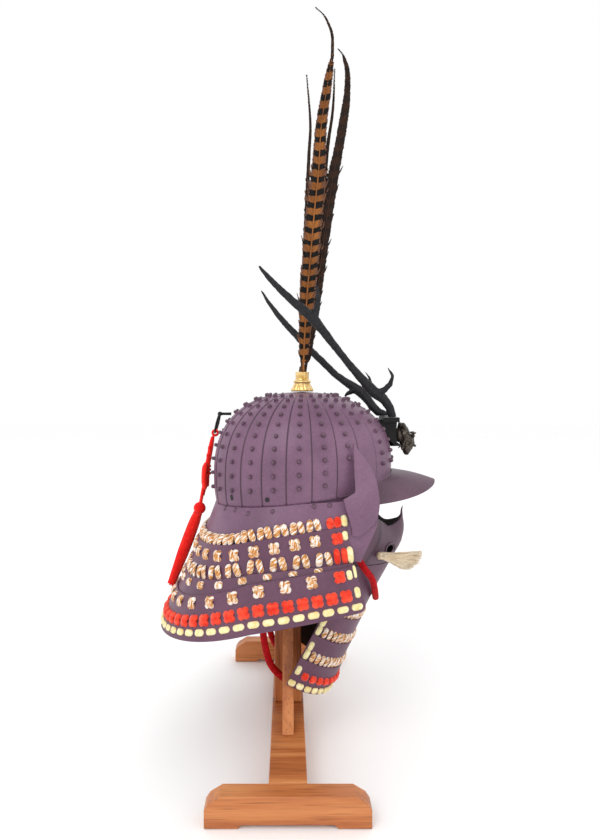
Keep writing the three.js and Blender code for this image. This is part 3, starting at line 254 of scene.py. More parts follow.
def copy_of(node, name):
    """A new piece with the solid's own mesh, its flat triangles joined to four-sided faces."""
    piece = bpy.data.objects.new(name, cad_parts[node].data.copy())
    bpy.context.collection.objects.link(piece)
    edit = bmesh.new()
    edit.from_mesh(piece.data)
    bmesh.ops.remove_doubles(edit, verts=edit.verts, dist=1e-5)
    flat, square = math.radians(35), math.radians(60)
    bmesh.ops.join_triangles(edit, faces=edit.faces, angle_face_threshold=flat, angle_shape_threshold=square)
    edit.to_mesh(piece.data)
    edit.free()
    normals = piece.data.attributes.get("custom_normal")
    if normals:
        piece.data.attributes.remove(normals)
    return piece


def crease_edges(piece, angle):
    """Keeps the edges sharper than angle where the piece is subdivided."""
    edit = bmesh.new()
    edit.from_mesh(piece.data)
    layer = edit.edges.layers.float.get("crease_edge") or edit.edges.layers.float.new("crease_edge")
    for edge in edit.edges:
        edge[layer] = 1.0 if edge.calc_face_angle(0) > math.radians(angle) else 0.0
    edit.to_mesh(piece.data)
    edit.free()


def smooth_copy(node, name, paint, levels=2, angle=50, bevel=0.0005):
    piece = copy_of(node, name)
    crease_edges(piece, angle)
    finish_piece(piece, paint, bevel, levels)
    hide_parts(node)


def organic_copy(node, name, paint, voxel, displace, grain, smoothing=6):
    """A remeshed, smoothed copy of a solid with a fine uneven surface."""
    piece = copy_of(node, name)
    remesh = piece.modifiers.new("remesh", "REMESH")
    remesh.mode = "VOXEL"
    remesh.voxel_size = voxel
    relax = piece.modifiers.new("relax", "SMOOTH")
    relax.iterations = smoothing
    texture = bpy.data.textures.new(name, "CLOUDS")
    texture.noise_scale = grain
    texture.noise_depth = 3
    uneven = piece.modifiers.new("uneven", "DISPLACE")
    uneven.texture = texture
    uneven.strength = displace
    uneven.texture_coords = "LOCAL"
    apply_modifiers(piece)
    finish_piece(piece, paint)
    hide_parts(node)


def apply_modifiers(piece):
    graph = bpy.context.evaluated_depsgraph_get()
    piece.data = bpy.data.meshes.new_from_object(piece.evaluated_get(graph))
    piece.modifiers.clear()


# Materials
def srgb(red, green, blue):
    """A colour from its 0 to 255 screen values."""
    shares = [value / 255 for value in (red, green, blue)]
    linear = [((share + 0.055) / 1.055) ** 2.4 if share > 10 / 255 else share / 12.92 for share in shares]
    return (*linear, 1.0)


class Paint:
    """A node material, with short calls for what most of them need."""

    def __init__(self, name, **values):
        self.material = bpy.data.materials.new(name)
        self.material.use_nodes = True
        self.tree = self.material.node_tree
        self.shader = self.tree.nodes["Principled BSDF"]
        for key, value in values.items():
            self.shader.inputs[key.replace("_", " ")].default_value = value
        self.place = self.node("ShaderNodeTexCoord").outputs["Object"]
        mark = self.node("ShaderNodeAttribute", attribute_name="mark").outputs["Vector"]
        self.marks = self.node("ShaderNodeSeparateXYZ", {0: mark}).outputs

    def node(self, kind, inputs=None, **settings):
        made = self.tree.nodes.new(kind)
        for key, value in settings.items():
            setattr(made, key, value)
        for key, value in (inputs or {}).items():
            if isinstance(value, bpy.types.NodeSocket):
                self.tree.links.new(value, made.inputs[key])
            else:
                made.inputs[key].default_value = value
        return made

    def noise(self, scale, detail=4, roughness=0.55, stretch=(1, 1, 1), distortion=0.0):
        moved = self.node("ShaderNodeMapping", {"Vector": self.place, "Scale": stretch}).outputs[0]
        inputs = {"Vector": moved, "Scale": scale, "Detail": detail, "Roughness": roughness}
        inputs["Distortion"] = distortion
        return self.node("ShaderNodeTexNoise", inputs).outputs["Fac"]

    def ramp(self, factor, stops):
        made = self.node("ShaderNodeValToRGB", {0: factor})
        elements = made.color_ramp.elements
        while len(elements) < len(stops):
            elements.new(0.5)
        for element, (position, colour) in zip(elements, stops):
            element.position = position
            element.color = colour
        return made.outputs["Color"]

    def math(self, operation, first, second=0.0, third=0.0):
        inputs = {0: first, 1: second, 2: third}
        return self.node("ShaderNodeMath", inputs, operation=operation).outputs[0]

    def mix(self, factor, first, second, blend="MIX"):
        inputs = {0: factor, 6: first, 7: second}
        return self.node("ShaderNodeMix", inputs, data_type="RGBA", blend_type=blend).outputs[2]

    def wire(self, socket, value):
        self.tree.links.new(value, self.shader.inputs[socket])

    def bump(self, height, distance, strength=1.0, under=None):
        inputs = {"Height": height, "Distance": distance, "Strength": strength}
        if under is not None:
            inputs["Normal"] = under
        return self.node("ShaderNodeBump", inputs).outputs[0]


def lacquer(name, base, dark, light, roughness=0.46):
    paint = Paint(name, Coat_Weight=0.06, Coat_Roughness=0.4, Specular_IOR_Level=0.4)
    cloud = paint.noise(14, 5)
    fine = paint.noise(420, 3)
    colour = paint.ramp(cloud, [(0.3, dark), (0.52, base), (0.75, light)])
    dust = paint.ramp(fine, [(0.35, (0.86, 0.86, 0.86, 1)), (0.7, (1.05, 1.05, 1.05, 1))])
    worn = paint.mix(1.0, colour, dust, "MULTIPLY")
    # Mark x darkens the colour towards a deep plum: the seam grooves on the bowl, and on the mask a painted
    # shadow line where it passes behind the neck guard
    dark_line = paint.math("MULTIPLY", paint.marks[0], 0.6)
    paint.wire("Base Color", paint.mix(dark_line, worn, srgb(40, 22, 32)))
    smear = paint.noise(30, 4, stretch=(1, 1, 0.4))
    paint.wire("Roughness", paint.math("MULTIPLY_ADD", smear, 0.22, roughness - 0.11))
    coarse = paint.bump(paint.noise(60, 4), 0.0006, 0.35)
    paint.wire("Normal", paint.bump(fine, 0.00012, 0.5, coarse))
    return paint.material


def wood():
    """Grain that runs along the feet and beam, and up the post and struts above BEAM_TOP."""
    paint = Paint("stand wood", Coat_Weight=0.08, Coat_Roughness=0.35)
    along = paint.noise(38, 6, 0.6, (1, 1, 0.09), 0.6)
    level = paint.noise(38, 6, 0.6, (0.07, 1, 1), 0.6)
    split = paint.node("ShaderNodeSeparateXYZ", {0: paint.place}).outputs
    is_low = paint.math("LESS_THAN", split[2], BEAM_TOP)
    grain = paint.mix(is_low, along, level)
    tones = [srgb(154, 80, 34), srgb(190, 112, 58), srgb(208, 134, 76), srgb(224, 158, 100)]
    colour = paint.ramp(grain, list(zip((0.28, 0.45, 0.58, 0.75), tones)))
    upright, lying = (paint.noise(500, 2, 0.5, stretch) for stretch in ((1, 1, 0.03), (0.03, 1, 1)))
    pores = paint.mix(is_low, upright, lying)
    dark = paint.ramp(pores, [(0.3, (0.62, 0.55, 0.5, 1)), (0.46, (1, 1, 1, 1))])
    paint.wire("Base Color", paint.mix(1.0, colour, dark, "MULTIPLY"))
    paint.wire("Roughness", paint.math("MULTIPLY_ADD", grain, 0.2, 0.4))
    paint.wire("Normal", paint.bump(pores, 0.0003, 0.5))
    return paint.material


def silk(name, dark, light, ribs=1.9, sheen=0.35):
    """A silk braid whose fine ribs run across the ribbon, with painted shade between the ribs."""
    paint = Paint(name, Roughness=0.72, Specular_IOR_Level=0.2, Sheen_Weight=sheen, Sheen_Roughness=0.4)
    wave = paint.math("SINE", paint.math("MULTIPLY", paint.marks[1], 2 * math.pi / ribs))
    slant = paint.math("MULTIPLY_ADD", paint.marks[2], 12.0, paint.math("MULTIPLY", paint.marks[1], 2.6))
    weave = paint.math("MULTIPLY", wave, paint.math("SINE", slant))
    mottle = paint.noise(160, 4)
    # A tenth of the rib height goes into the colour as painted shade. Random mottle is added, and so is mark
    # x, which holds each ribbon's tone and the braided cords' painted relief shade
    tone = paint.math("MULTIPLY_ADD", weave, 0.1, paint.math("ADD", mottle, paint.marks[0]))
    paint.wire("Base Color", paint.ramp(tone, [(0.3, dark), (0.68, light)]))
    paint.wire("Normal", paint.bump(weave, 0.0004, 0.6, paint.bump(paint.noise(900, 3), 0.0003, 0.5)))
    return paint.material


def mixed_silk():
    """White and orange strands braided together, as uneven streaks along each ribbon."""
    paint = Paint("mixed silk", Roughness=0.75, Sheen_Weight=0.2, Sheen_Roughness=0.4)
    along, around, tone = paint.marks[1], paint.marks[2], paint.marks[0]
    slanted = paint.math("MULTIPLY_ADD", around, 7.0, paint.math("MULTIPLY", along, 0.42))
    far_apart = paint.math("MULTIPLY", tone, 90.0)
    parts = {0: paint.math("MULTIPLY", along, 0.16), 1: slanted, 2: far_apart}
    place = paint.node("ShaderNodeCombineXYZ", parts).outputs[0]
    streaks = paint.node("ShaderNodeTexNoise", {"Vector": place, "Scale": 1.0, "Detail": 3}).outputs["Fac"]
    flecks = paint.math("MULTIPLY_ADD", paint.noise(900, 2), 0.3, -0.15)
    mixed = paint.math("ADD", streaks, flecks)
    tones = [srgb(160, 92, 40), srgb(206, 134, 56), srgb(226, 176, 120), srgb(250, 242, 234)]
    paint.wire("Base Color", paint.ramp(mixed, list(zip((0.3, 0.42, 0.5, 0.55), tones))))
    strands = paint.math("SINE", paint.math("MULTIPLY", slanted, 6.0))
    paint.wire("Normal", paint.bump(strands, 0.0004, 0.5, paint.bump(paint.noise(800, 3), 0.0004, 0.6)))
    return paint.material


def feather_paint():
    """Bars come from mark x, the shade from mark y (0 at the shaft, 1 at the edge) and z (darkness)."""
    paint = Paint("feather", Roughness=0.7, Specular_IOR_Level=0.25)
    wobble = paint.math("MULTIPLY_ADD", paint.noise(160, 3), 0.34, -0.17)
    phase = paint.math("ADD", paint.marks[0], wobble)
    wave = paint.math("COSINE", paint.math("MULTIPLY", phase, 2 * math.pi))
    bar = paint.math("GREATER_THAN", wave, 0.12)
    browns = [(0.3, srgb(110, 62, 24)), (0.7, srgb(158, 98, 44))]
    inner = paint.ramp(paint.noise(60, 4, stretch=(1, 1, 0.3)), browns)
    edge = srgb(112, 78, 62)
    near_edge = paint.node("ShaderNodeMapRange", {0: paint.marks[1], 1: 0.55, 2: 0.95}).outputs[0]
    vane = paint.mix(near_edge, inner, edge)
    bar_reach = paint.math("MULTIPLY", bar, paint.math("LESS_THAN", paint.marks[1], 0.9))
    barred = paint.mix(bar_reach, vane, srgb(14, 9, 7))
    colour = paint.mix(paint.marks[2], barred, srgb(34, 20, 14))
    paint.wire("Base Color", colour)
    paint.wire("Normal", paint.bump(paint.noise(1200, 2, stretch=(1, 1, 0.2)), 0.0003, 0.5))
    return paint.material


def rough_dark(name, dark, light, roughness, metallic, scale=80, depth=0.0006):
    paint = Paint(name, Metallic=metallic, Specular_IOR_Level=0.25)
    cloud = paint.noise(scale, 6, 0.62)
    paint.wire("Base Color", paint.ramp(cloud, [(0.35, dark), (0.7, light)]))
    paint.wire("Roughness", paint.math("MULTIPLY_ADD", cloud, 0.25, roughness - 0.12))
    paint.wire("Normal", paint.bump(cloud, depth, 0.7))
    return paint.material


def gilt():
    paint = Paint("gilt", Metallic=1.0)
    cloud = paint.noise(90, 5)
    paint.wire("Base Color", paint.ramp(cloud, [(0.3, srgb(206, 160, 84)), (0.7, srgb(255, 226, 164))]))
    paint.wire("Roughness", paint.math("MULTIPLY_ADD", cloud, 0.2, 0.18))
    paint.wire("Normal", paint.bump(paint.noise(700, 3), 0.0002, 0.5))
    return paint.material


def hair_paint():
    paint = Paint("hair", Roughness=0.5, Sheen_Weight=0.25)
    tone = paint.math("MULTIPLY_ADD", paint.noise(300, 2), 0.5, paint.marks[0])
    stops = [(0.25, srgb(206, 178, 138)), (0.6, srgb(235, 217, 187)), (1.0, srgb(248, 240, 222))]
    paint.wire("Base Color", paint.ramp(tone, stops))
    paint.wire("Normal", paint.bump(paint.noise(1500, 2), 0.0002, 0.4))
    return paint.material


PLUM = lacquer("plum lacquer", srgb(119, 85, 110), srgb(106, 74, 97), srgb(131, 97, 121))
DARK_PLUM = lacquer("dark plum lacquer", srgb(94, 65, 83), srgb(84, 57, 74), srgb(106, 76, 93))
LAME_PLUM = lacquer("lame lacquer", srgb(101, 65, 87), srgb(91, 57, 78), srgb(111, 73, 95))
# Black for the inner faces of the mask and throat guard, and also the painted shade of the two holes in the
# bowl
INSIDE_BLACK = lacquer("inside lacquer and hole shade", srgb(24, 18, 20), srgb(16, 12, 14), srgb(34, 26, 28), 0.5)
STUD_PLUM = lacquer("stud lacquer", srgb(98, 70, 88), srgb(86, 60, 76), srgb(110, 80, 100), 0.4)
WOOD = wood()
RED = silk("red silk", srgb(222, 40, 20), srgb(255, 84, 56))
TASSEL_RED = silk("tassel silk", srgb(232, 16, 10), srgb(255, 42, 30), 2.4, 0.15)
YELLOW = silk("yellow silk", srgb(236, 214, 142), srgb(255, 246, 196))
MIXED = mixed_silk()
CORD_RED = silk("cord silk", srgb(150, 0, 9), srgb(200, 0, 14), 3.2, 0.0)
FEATHER = feather_paint()
HORN = rough_dark("antler", srgb(18, 18, 20), srgb(44, 44, 48), 0.62, 0.0, 300)
BRONZE = rough_dark("bronze", srgb(44, 38, 34), srgb(112, 103, 95), 0.42, 0.8, 260, 0.0008)
IRON = rough_dark("black iron", srgb(8, 8, 8), srgb(20, 19, 20), 0.42, 0.0)
GILT = gilt()
HAIR = hair_paint()


def whole_route(half):
    """A cord's route from its first half, which ends in the middle, and the mirror image of that."""
    half = np.array(half)
    return np.vstack([half, half[-2::-1] * (1, -1, 1)])


# Cords: the same routes as the solids, in millimetres from the stand's post
CHIN_CORD_DIAMETER = 0.010
MASK_CORD_DIAMETER = 0.009
CHIN_CORD_ROUTE = whole_route([
    (-62, 0.2, 332), (-56, 32, 329), (-38, 63.5, 320), (-11, 87.6, 308), (-20, 84, 270), (-28, 71, 222),
    (-32, 58, 172), (-31, 48, 133), (-21, 40, 95), (0, 34, 74), (24, 21, 61), (32, 0, 57),
])
MASK_CORD_ROUTE = whole_route([
    (62, -86, 312), (68, -84, 290), (80, -82, 262), (94, -80, 238), (106, -71, 220), (111, -58, 204),
    (114.5, -42, 190), (117.5, -22, 180), (119.5, 0, 177),
])


def braided_cord(name, route, diameter, node):
    """A round braid: four strands a side cross over each other in low relief, with painted shade in the dips
    between them.
    """
    line = smooth_line(route * MM + STAND, 12)
    length = lengths_along(line)[-1]
    line = evenly(line, int(length / 0.0011))
    sides = 16
    relief = 0.07
    pitch = diameter * 0.9
    verts, faces, along, around = tube(line, diameter / 2, sides)
    turn = 2 * np.pi * (along * MM / pitch)
    cross = np.cos(turn + 4 * np.pi * around) * np.cos(turn - 4 * np.pi * around)
    centre = np.repeat(line, sides, axis=0)
    verts = centre + (verts - centre) * (1 - relief + relief * cross)[:, None]
    shape = Shape()
    # Mark x is painted shade: the colour is lighter on the raised crossings and darker in the dips between
    # them
    shape.add(verts, faces, np.stack([0.1 * cross, along, around], axis=1))
    piece = shape.piece(name, CORD_RED, "cord_silk", node)


braided_cord("chin_cord_braid", CHIN_CORD_ROUTE, CHIN_CORD_DIAMETER, "chin_cord")
braided_cord("mask_cord_braid", MASK_CORD_ROUTE, MASK_CORD_DIAMETER, "mask_cord")

# The bowl: its meridian as shares of the half length and the rise, and how much base tilt is left
BOWL_PROFILE = np.array([
    (0.975, 0.0, 1.0), (0.994, 0.11, 0.85), (1.0, 0.252, 0.62), (0.989, 0.401, 0.4), (0.945, 0.551, 0.25),
    (0.87, 0.678, 0.14), (0.759, 0.79, 0.07), (0.618, 0.88, 0.03), (0.456, 0.944, 0.01), (0.25, 0.984, 0.0),
    (0.004, 1.0, 0.0),
])
MERIDIAN = smooth_line(BOWL_PROFILE, 5)
PLATE_DEG = 15
FRONT_EXTRA_DEG = 3
SEAM_STEP = 0.0006
GROOVE_SHARES = (0.014, 0.986)


def bowl_points(angles, profile, inset):
    """Grid of points on the bowl; inset may differ for each column."""
    reach, rise, tilt = (profile[:, k][:, None] for k in range(3))
    cos, sin = np.cos(angles)[None], np.sin(angles)[None]
    x = cos * np.maximum(reach * HALF_LENGTH - inset, 1e-5)
    y = sin * np.maximum(reach * HALF_WIDTH - inset, 1e-5)
    z = rise * (BOWL_RISE - inset) + tilt * BASE_SLOPE * x
    return np.stack([x + 0 * z, y + 0 * z, z], -1) + HELMET


def plate_columns():
    """Angles, insets and groove marks: each plate laps over the one before it, with a line between."""
    seams = [math.radians(PLATE_DEG * (i + 0.5) + FRONT_EXTRA_DEG) for i in range(12)]
    edges = [-seams[0]] + seams
    plates = list(zip(edges, edges[1:]))
    plates.append((seams[-1], 2 * math.pi - seams[-1]))
    plates.extend((2 * math.pi - high, 2 * math.pi - low) for low, high in plates[-2:0:-1])
    columns = []
    for low, high in plates:
        columns.append((low, SEAM_STEP * 2, 1.0))
        for share in (GROOVE_SHARES[0], 0.05, 0.2, 0.4, 0.6, 0.8, 0.95, GROOVE_SHARES[1]):
            on_near_side = low >= math.pi
            lap = share if on_near_side else 1 - share
            dark_line = float(share in GROOVE_SHARES)
            columns.append((low + (high - low) * share, SEAM_STEP * (1 - lap), dark_line))
    return np.array(columns).T


def make_bowl():
    angles, insets, grooves = plate_columns()
    fade = np.clip((1 - MERIDIAN[:, 1]) * 9, 0, 1)[:, None]
    outer = bowl_points(angles, MERIDIAN, insets[None] * fade)
    inner = bowl_points(angles, MERIDIAN, WALL + 0.0 * insets[None])
    shape = Shape()
    verts, faces = shell(outer, inner, True)
    dark = np.zeros((len(verts), 3))
    dark[:len(verts) // 2, 0] = np.tile(grooves, len(MERIDIAN))
    shape.add(verts, faces, dark)
    shape.piece("bowl_plates", PLUM, "lacquered_iron", "bowl")


make_bowl()

# Studs: the same rows as in the solid
STUD_FIRST = 0.019
STUD_PITCH = 0.016
STUD_COUNT = 10
STUD_PROFILE = [
    (0.05, 4.4), (1.3, 4.3), (2.3, 3.7), (2.9, 2.7), (3.0, 1.8), (2.7, 0.9), (3.3, 0.1), (3.4, -0.8),
]
meridian_flat = MERIDIAN[:, :2] * (HALF_LENGTH, BOWL_RISE)
meridian_lengths = lengths_along(meridian_flat)


def profile_at(length):
    return point_at(MERIDIAN, meridian_lengths, [length])


def bowl_frame(angle, length):
    here = bowl_points(np.array([angle]), profile_at(length), 0)[0, 0]
    above = bowl_points(np.array([angle]), profile_at(length + 0.001), 0)[0, 0] - here
    beside = bowl_points(np.array([angle + 0.01]), profile_at(length), 0)[0, 0] - here
    normal = unit(np.cross(beside, above))
    return here, unit(above), normal


def turned(profile, sides, here, up, normal):
    """A lathe form on a surface: rows of radius and height in millimetres."""
    side = np.cross(up, normal)
    turn = np.arange(sides) * 2 * np.pi / sides
    ring = np.cos(turn)[:, None] * side + np.sin(turn)[:, None] * up
    verts = np.vstack([here + radius * MM * ring + height * MM * normal for radius, height in profile])
    faces = [tuple(face) for face in grid_faces(len(profile), sides, True)]
    faces.append(tuple(range(len(verts) - sides, len(verts))))
    return verts, faces


def stud_is_shown(degrees, row):
    if degrees == 0:
        return row == 1
    near_visor = degrees < 62 and row < 1
    under_flap = (degrees == 48 and row < 5) or (degrees == 63 and row < 2)
    return not near_visor and not under_flap


def make_studs():
    shape = Shape()
    for column in range(12):
        degrees = column * PLATE_DEG + (FRONT_EXTRA_DEG if column else 0)
        sides = (1, -1) if column else (1,)
        for row in range(STUD_COUNT):
            if not stud_is_shown(degrees, row):
                continue
            for side in sides:
                here, up, normal = bowl_frame(side * math.radians(degrees), STUD_FIRST + row * STUD_PITCH)
                size = rng.uniform(0.84, 0.94)
                profile = [(radius * size, height) for radius, height in STUD_PROFILE]
                shape.add(*turned(profile, 10, here, up, normal))
    shape.piece("bowl_studs", STUD_PLUM, "lacquered_iron")


make_studs()
smooth_copy("base_band", "band", PLUM)

# Neck guard: each edge's back, turn and front as shares of the half length, its side and front corner as
# shares of the half width, and its three heights as shares of the rise, in neck_edge's order
NECK_EDGES = {
    "root_top": (-0.975, 0, 0.975, 0.76, 0.924, -0.111, -0.003, 0.03),
    "root_middle": (-1.05, -0.2, 1.024, 0.724, 0.962, -0.295, -0.197, -0.217),
    "root_bottom": (-1.164, -0.532, 1.067, 0.563, 0.986, -0.52, -0.4, -0.53),
    "second_top": (-1.157, -0.532, 1.076, 0.415, 1.014, -0.444, -0.327, -0.199),
    "third_top": (-1.297, -0.532, 1.154, 0.464, 1.078, -0.766, -0.596, -0.514),
    "fourth_top": (-1.401, -0.532, 1.229, 0.481, 1.133, -0.938, -0.667, -0.528),
    "fourth_bottom": (-1.577, -0.532, 1.381, 0.604, 1.219, -1.297, -1.058, -0.902),
}
FRONT_COLUMNS = 16
BACK_COLUMNS = 48


def neck_edge(name):
    """Points and outward directions from the near front corner round to the middle of the back."""
    back, turn, side, front, corner, back_rise, side_rise, front_rise = NECK_EDGES[name]
    share = np.arange(FRONT_COLUMNS) / FRONT_COLUMNS
    x = (front + (turn - front) * share) * HALF_LENGTH
    y = (side + (corner - side) * (1 - share) ** 2) * HALF_WIDTH
    z = (front_rise + (side_rise - front_rise) * share) * BOWL_RISE
    straight = np.stack([x, -y, z], 1)
    angle = (np.pi / 2) * (1 - np.arange(BACK_COLUMNS + 1) / BACK_COLUMNS)
    reach = (turn - back) * HALF_LENGTH
    width = side * HALF_WIDTH
    x = turn * HALF_LENGTH - reach * np.cos(angle)
    z = (side_rise + (back_rise - side_rise) * np.cos(angle)) * BOWL_RISE
    round_part = np.stack([x, -width * np.sin(angle), z], 1)
    out = unit(np.stack([-np.cos(angle) / reach, -np.sin(angle) / width, 0 * angle], 1))
    straight_out = np.tile([0, -1.0, 0], (FRONT_COLUMNS, 1))
    return np.vstack([straight, round_part]) + HELMET, np.vstack([straight_out, out])


def lapped_edge(top, next_top, next_bottom):
    """The lower edge of a lame that passes inside the next one."""
    out = next_top[1]
    passing = next_top[0] - out * (WALL + LAME_GAP)
    beyond = passing + unit(passing - top[0]) * LAME_LAP
    share = LAME_LAP / np.linalg.norm(next_top[0] - next_bottom[0], axis=1)
    behind = next_top[0] + (next_bottom[0] - next_top[0]) * share[:, None] - out * (WALL + LAME_GAP)
    proud = ((beyond - behind) * out).sum(1)
    return np.where(proud[:, None] > 0, behind, beyond), out


def neck_rows():
    edge = {name: neck_edge(name) for name in NECK_EDGES}
    fourth = [edge["fourth_top"], edge["fourth_bottom"]]
    third = [edge["third_top"], lapped_edge(edge["third_top"], *fourth)]
    second = [edge["second_top"], lapped_edge(edge["second_top"], *third)]
    first = [edge["root_top"], edge["root_middle"], edge["root_bottom"]]
    return [first, second, third, fourth]


NECK = neck_rows()
CORNER_RADIUS = 0.010


def rounded_corner(points, outs):
    """Shortens the lowest rows at the front, so that the corner there is round."""
    above = np.linalg.norm(points[:, 0] - points[-1, 0], axis=1)
    side = np.clip(CORNER_RADIUS - above, 0, CORNER_RADIUS)
    for row, cut in enumerate(CORNER_RADIUS - np.sqrt(CORNER_RADIUS ** 2 - side ** 2)):
        along = lengths_along(points[row])
        arcs = cut + along * (1 - cut / along[-1])
        for grid in (points, outs):
            grid[row] = point_at(grid[row], along, arcs)


def fine_rows(rows, shares):
    """A lame's points and outward directions at shares of the way through its rows."""
    points = np.stack([row[0] for row in rows])
    outs = np.stack([row[1] for row in rows])
    spans = shares * (len(rows) - 1)
    low = np.minimum(spans.astype(int), len(rows) - 2)
    part = (spans - low)[:, None, None]
    fine_points = points[low] * (1 - part) + points[low + 1] * part
    return fine_points, unit(outs[low] * (1 - part) + outs[low + 1] * part)


def lame_shell(rows, round_front=False):
    """A lame's wall, mirrored to the whole width."""
    shares = np.linspace(0, 1, 9)
    if round_front:
        shares = np.r_[np.linspace(0, 0.8, 7), 0.84, 0.88, 0.92, 0.95, 0.975, 1.0]
    points, outs = fine_rows(rows, shares)
    if round_front:
        rounded_corner(points, outs)
    whole = np.concatenate([points, points[:, -2::-1] * (1, -1, 1)], axis=1)
    whole_outs = np.concatenate([outs, outs[:, -2::-1] * (1, -1, 1)], axis=1)
    return shell(whole, whole - whole_outs * WALL)


def make_neck_guard():
    for i, rows in enumerate(NECK):
        shape = Shape()
        shape.add(*lame_shell(rows, round_front=i == 3))
        paint = PLUM if i == 0 else LAME_PLUM
        shape.piece(f"neck_plate_{i + 1}", paint, "lacquered_iron", f"neck_lame_{i + 1}", bevel=0.0007)


make_neck_guard()

# Rivets under the bowl: distance ahead of the helmet's middle and drop below the lame's top, in millimetres
RIVETS = [(-99, 3), (-84, 4), (-64, 9), (-33, 8), (15, 5), (33, 4)]
RIVET_PROFILE = [(0.05, 1.5), (1.8, 1.3), (2.7, 0.7), (3.2, -0.2)]

# Painted shade of two holes: degrees round the bowl, metres up its side, half height and half width in
# millimetres
HOLE_SHADES = [(-139, 0.011, 4.0, 2.4), (-112, 0.0085, 3.0, 2.8)]


def lame_point(ahead, drop):
    """A point, upward way and normal on the first lame's near side."""
    top, out = NECK[0][0]
    middle = NECK[0][1][0]
    behind = HELMET[0] - top[:, 0]
    here = point_at(top, behind, -ahead * MM)
    up = unit(here - point_at(middle, behind, -ahead * MM))
    return here - up * drop * MM, up, unit(point_at(out, behind, -ahead * MM))


def make_rivets():
    shape = Shape()
    for ahead, drop in RIVETS:
        shape.add(*turned(RIVET_PROFILE, 14, *lame_point(ahead, drop)))
    shape.mirror()
    shape.piece("rivets", STUD_PLUM, "lacquered_iron")


def paint_hole_shades():
    """Black ovals near the bowl's foot that stand for a slot and an eye: painted shade where the holes would
    look dark.
    """
    shape = Shape()
    sides = 18
    for degrees, length, height, width in HOLE_SHADES:
        here, up, normal = bowl_frame(math.radians(degrees), length)
        side = np.cross(up, normal)
        turn = (np.arange(sides) * 2 * np.pi / sides)[:, None]
        oval = (np.sin(turn) * up * height + np.cos(turn) * side * width) * MM
        verts = np.vstack([here + oval + normal * 0.0004, here + normal * 0.0002])
        shape.add(verts, [(i, (i + 1) % sides, sides) for i in range(sides)])
    shape.mirror()
    shape.piece("bowl_hole_shades", INSIDE_BLACK, "lacquered_iron")


make_rivets()
paint_hole_shades()


class Spot:
    """The small frame that a stitch is drawn on: a point, the ways ahead and up, and out."""

    def __init__(self, at, ahead, up):
        self.at = at
        self.ahead = unit(ahead)
        self.out = unit(np.cross(up, self.ahead))
        self.up = np.cross(self.ahead, self.out)
        if self.out.dot(at - np.array([STAND[0], 0, at[2]])) < 0:
            self.out = -self.out

    def place(self, points):
        rows = np.asarray(points, float) * MM
        return self.at + rows @ np.stack([self.ahead, self.up, self.out])


AHEAD_STEP = 0.004


def lame_line(rows, share):
    """The line along a lame at a share of the way down from its top edge."""
    top, bottom = rows[0][0], rows[-1][0]
    return top + (bottom - top) * share


def along_lame(rows, arc, share):
    """A point on a lame, the ways along and up it, and the lengths along the line at that height."""
    line = lame_line(rows, share)
    along = lengths_along(line)
    at = point_at(line, along, arc)
    ahead = point_at(line, along, arc + AHEAD_STEP) - at
    up = point_at(rows[0][0], along, arc) - point_at(rows[-1][0], along, arc)
    return at, ahead, up, along


def neck_spot(lame, arc, share, above=False):
    """A spot on a lame, arc metres from its front corner. Above means over its top edge."""
    rows = NECK[lame - 1]
    at, behind, up, along = along_lame(rows, arc, share)
    if above:
        top, out = rows[0]
        at = point_at(top, along, arc) - point_at(out, along, arc) * (WALL + LAME_GAP)
        up = point_at(NECK[lame - 2][0][0], along, arc) - at
    return Spot(at, -behind, up)


def rounded_ribbon(shape, spot, points, width, flat=0.45):
    """A ribbon whose ends are rounded off and go down into the surface."""
    line = smooth_line(spot.place(points), 4)
    share = np.linspace(-1, 1, len(line))
    rounding = np.sqrt(np.clip(1.04 - np.abs(share) ** 3, 0.08, 1))
    radii = width * MM / 2 * rounding * rng.uniform(0.94, 1.05)
    shape.add_tube(line, radii, 8, flat, spot.out, rng.uniform(-0.08, 0.08))


def knot(shape, spot, width, height, ribbon_width):
    """Two ribbons crossed over each other."""
    a, b = width / 2, height / 2
    for side, lift in ((1, 1.5), (-1, 2.7)):
        points = [
            (-side * a, -b, -0.7), (-side * a * 0.6, -b * 0.6, 1.2), (0, 0, lift),
            (side * a * 0.6, b * 0.6, 1.2), (side * a, b, -0.7),
        ]
        rounded_ribbon(shape, spot, points, ribbon_width)


def tall_pair(shape, spot, height, spread=3.8, lean=2.1):
    """Two upright ribbons that come down over the upper lame and pass behind the lower one."""
    for side in (-1, 1):
        points = [
            (side * (spread + lean), -1.5, -0.4), (side * (spread + lean * 0.6), height * 0.3, 1.7),
            (side * spread, height * 0.75, 1.9), (side * (spread - lean * 0.6), height, -0.8),
        ]
        rounded_ribbon(shape, spot, points, 8.6, 0.42)


def tall_one(shape, spot, height, width, lean):
    """One upright ribbon over the lap of two lames."""
    points = [(lean, -1.2, -0.4), (0, height * 0.3, 1.8), (0, height * 0.75, 1.9), (-lean, height, -0.8)]
    rounded_ribbon(shape, spot, points, width, 0.42)


def pad(shape, spot, length, width, upright=False):
    """A single short stitch, lying or upright."""
    half = length / 2
    line = [(-half, 0, -0.6), (-half * 0.5, 0, 0.6), (half * 0.5, 0, 0.6), (half, 0, -0.6)]
    points = [(y, x, z) for x, y, z in line] if upright else line
    rounded_ribbon(shape, spot, points, width, 0.42)


def row_arcs(lame, share, first, pitch):
    """Places of a row's stitches from the front to the middle of the back, evenly fitted."""
    half = lengths_along(lame_line(NECK[lame - 1], share))[-1]
    first, pitch = first * MM, pitch * MM
    count = round((half - first) / pitch - 0.5)
    step = (half - first) / (count + 0.5)
    return [first + k * step for k in range(count + 1)], half


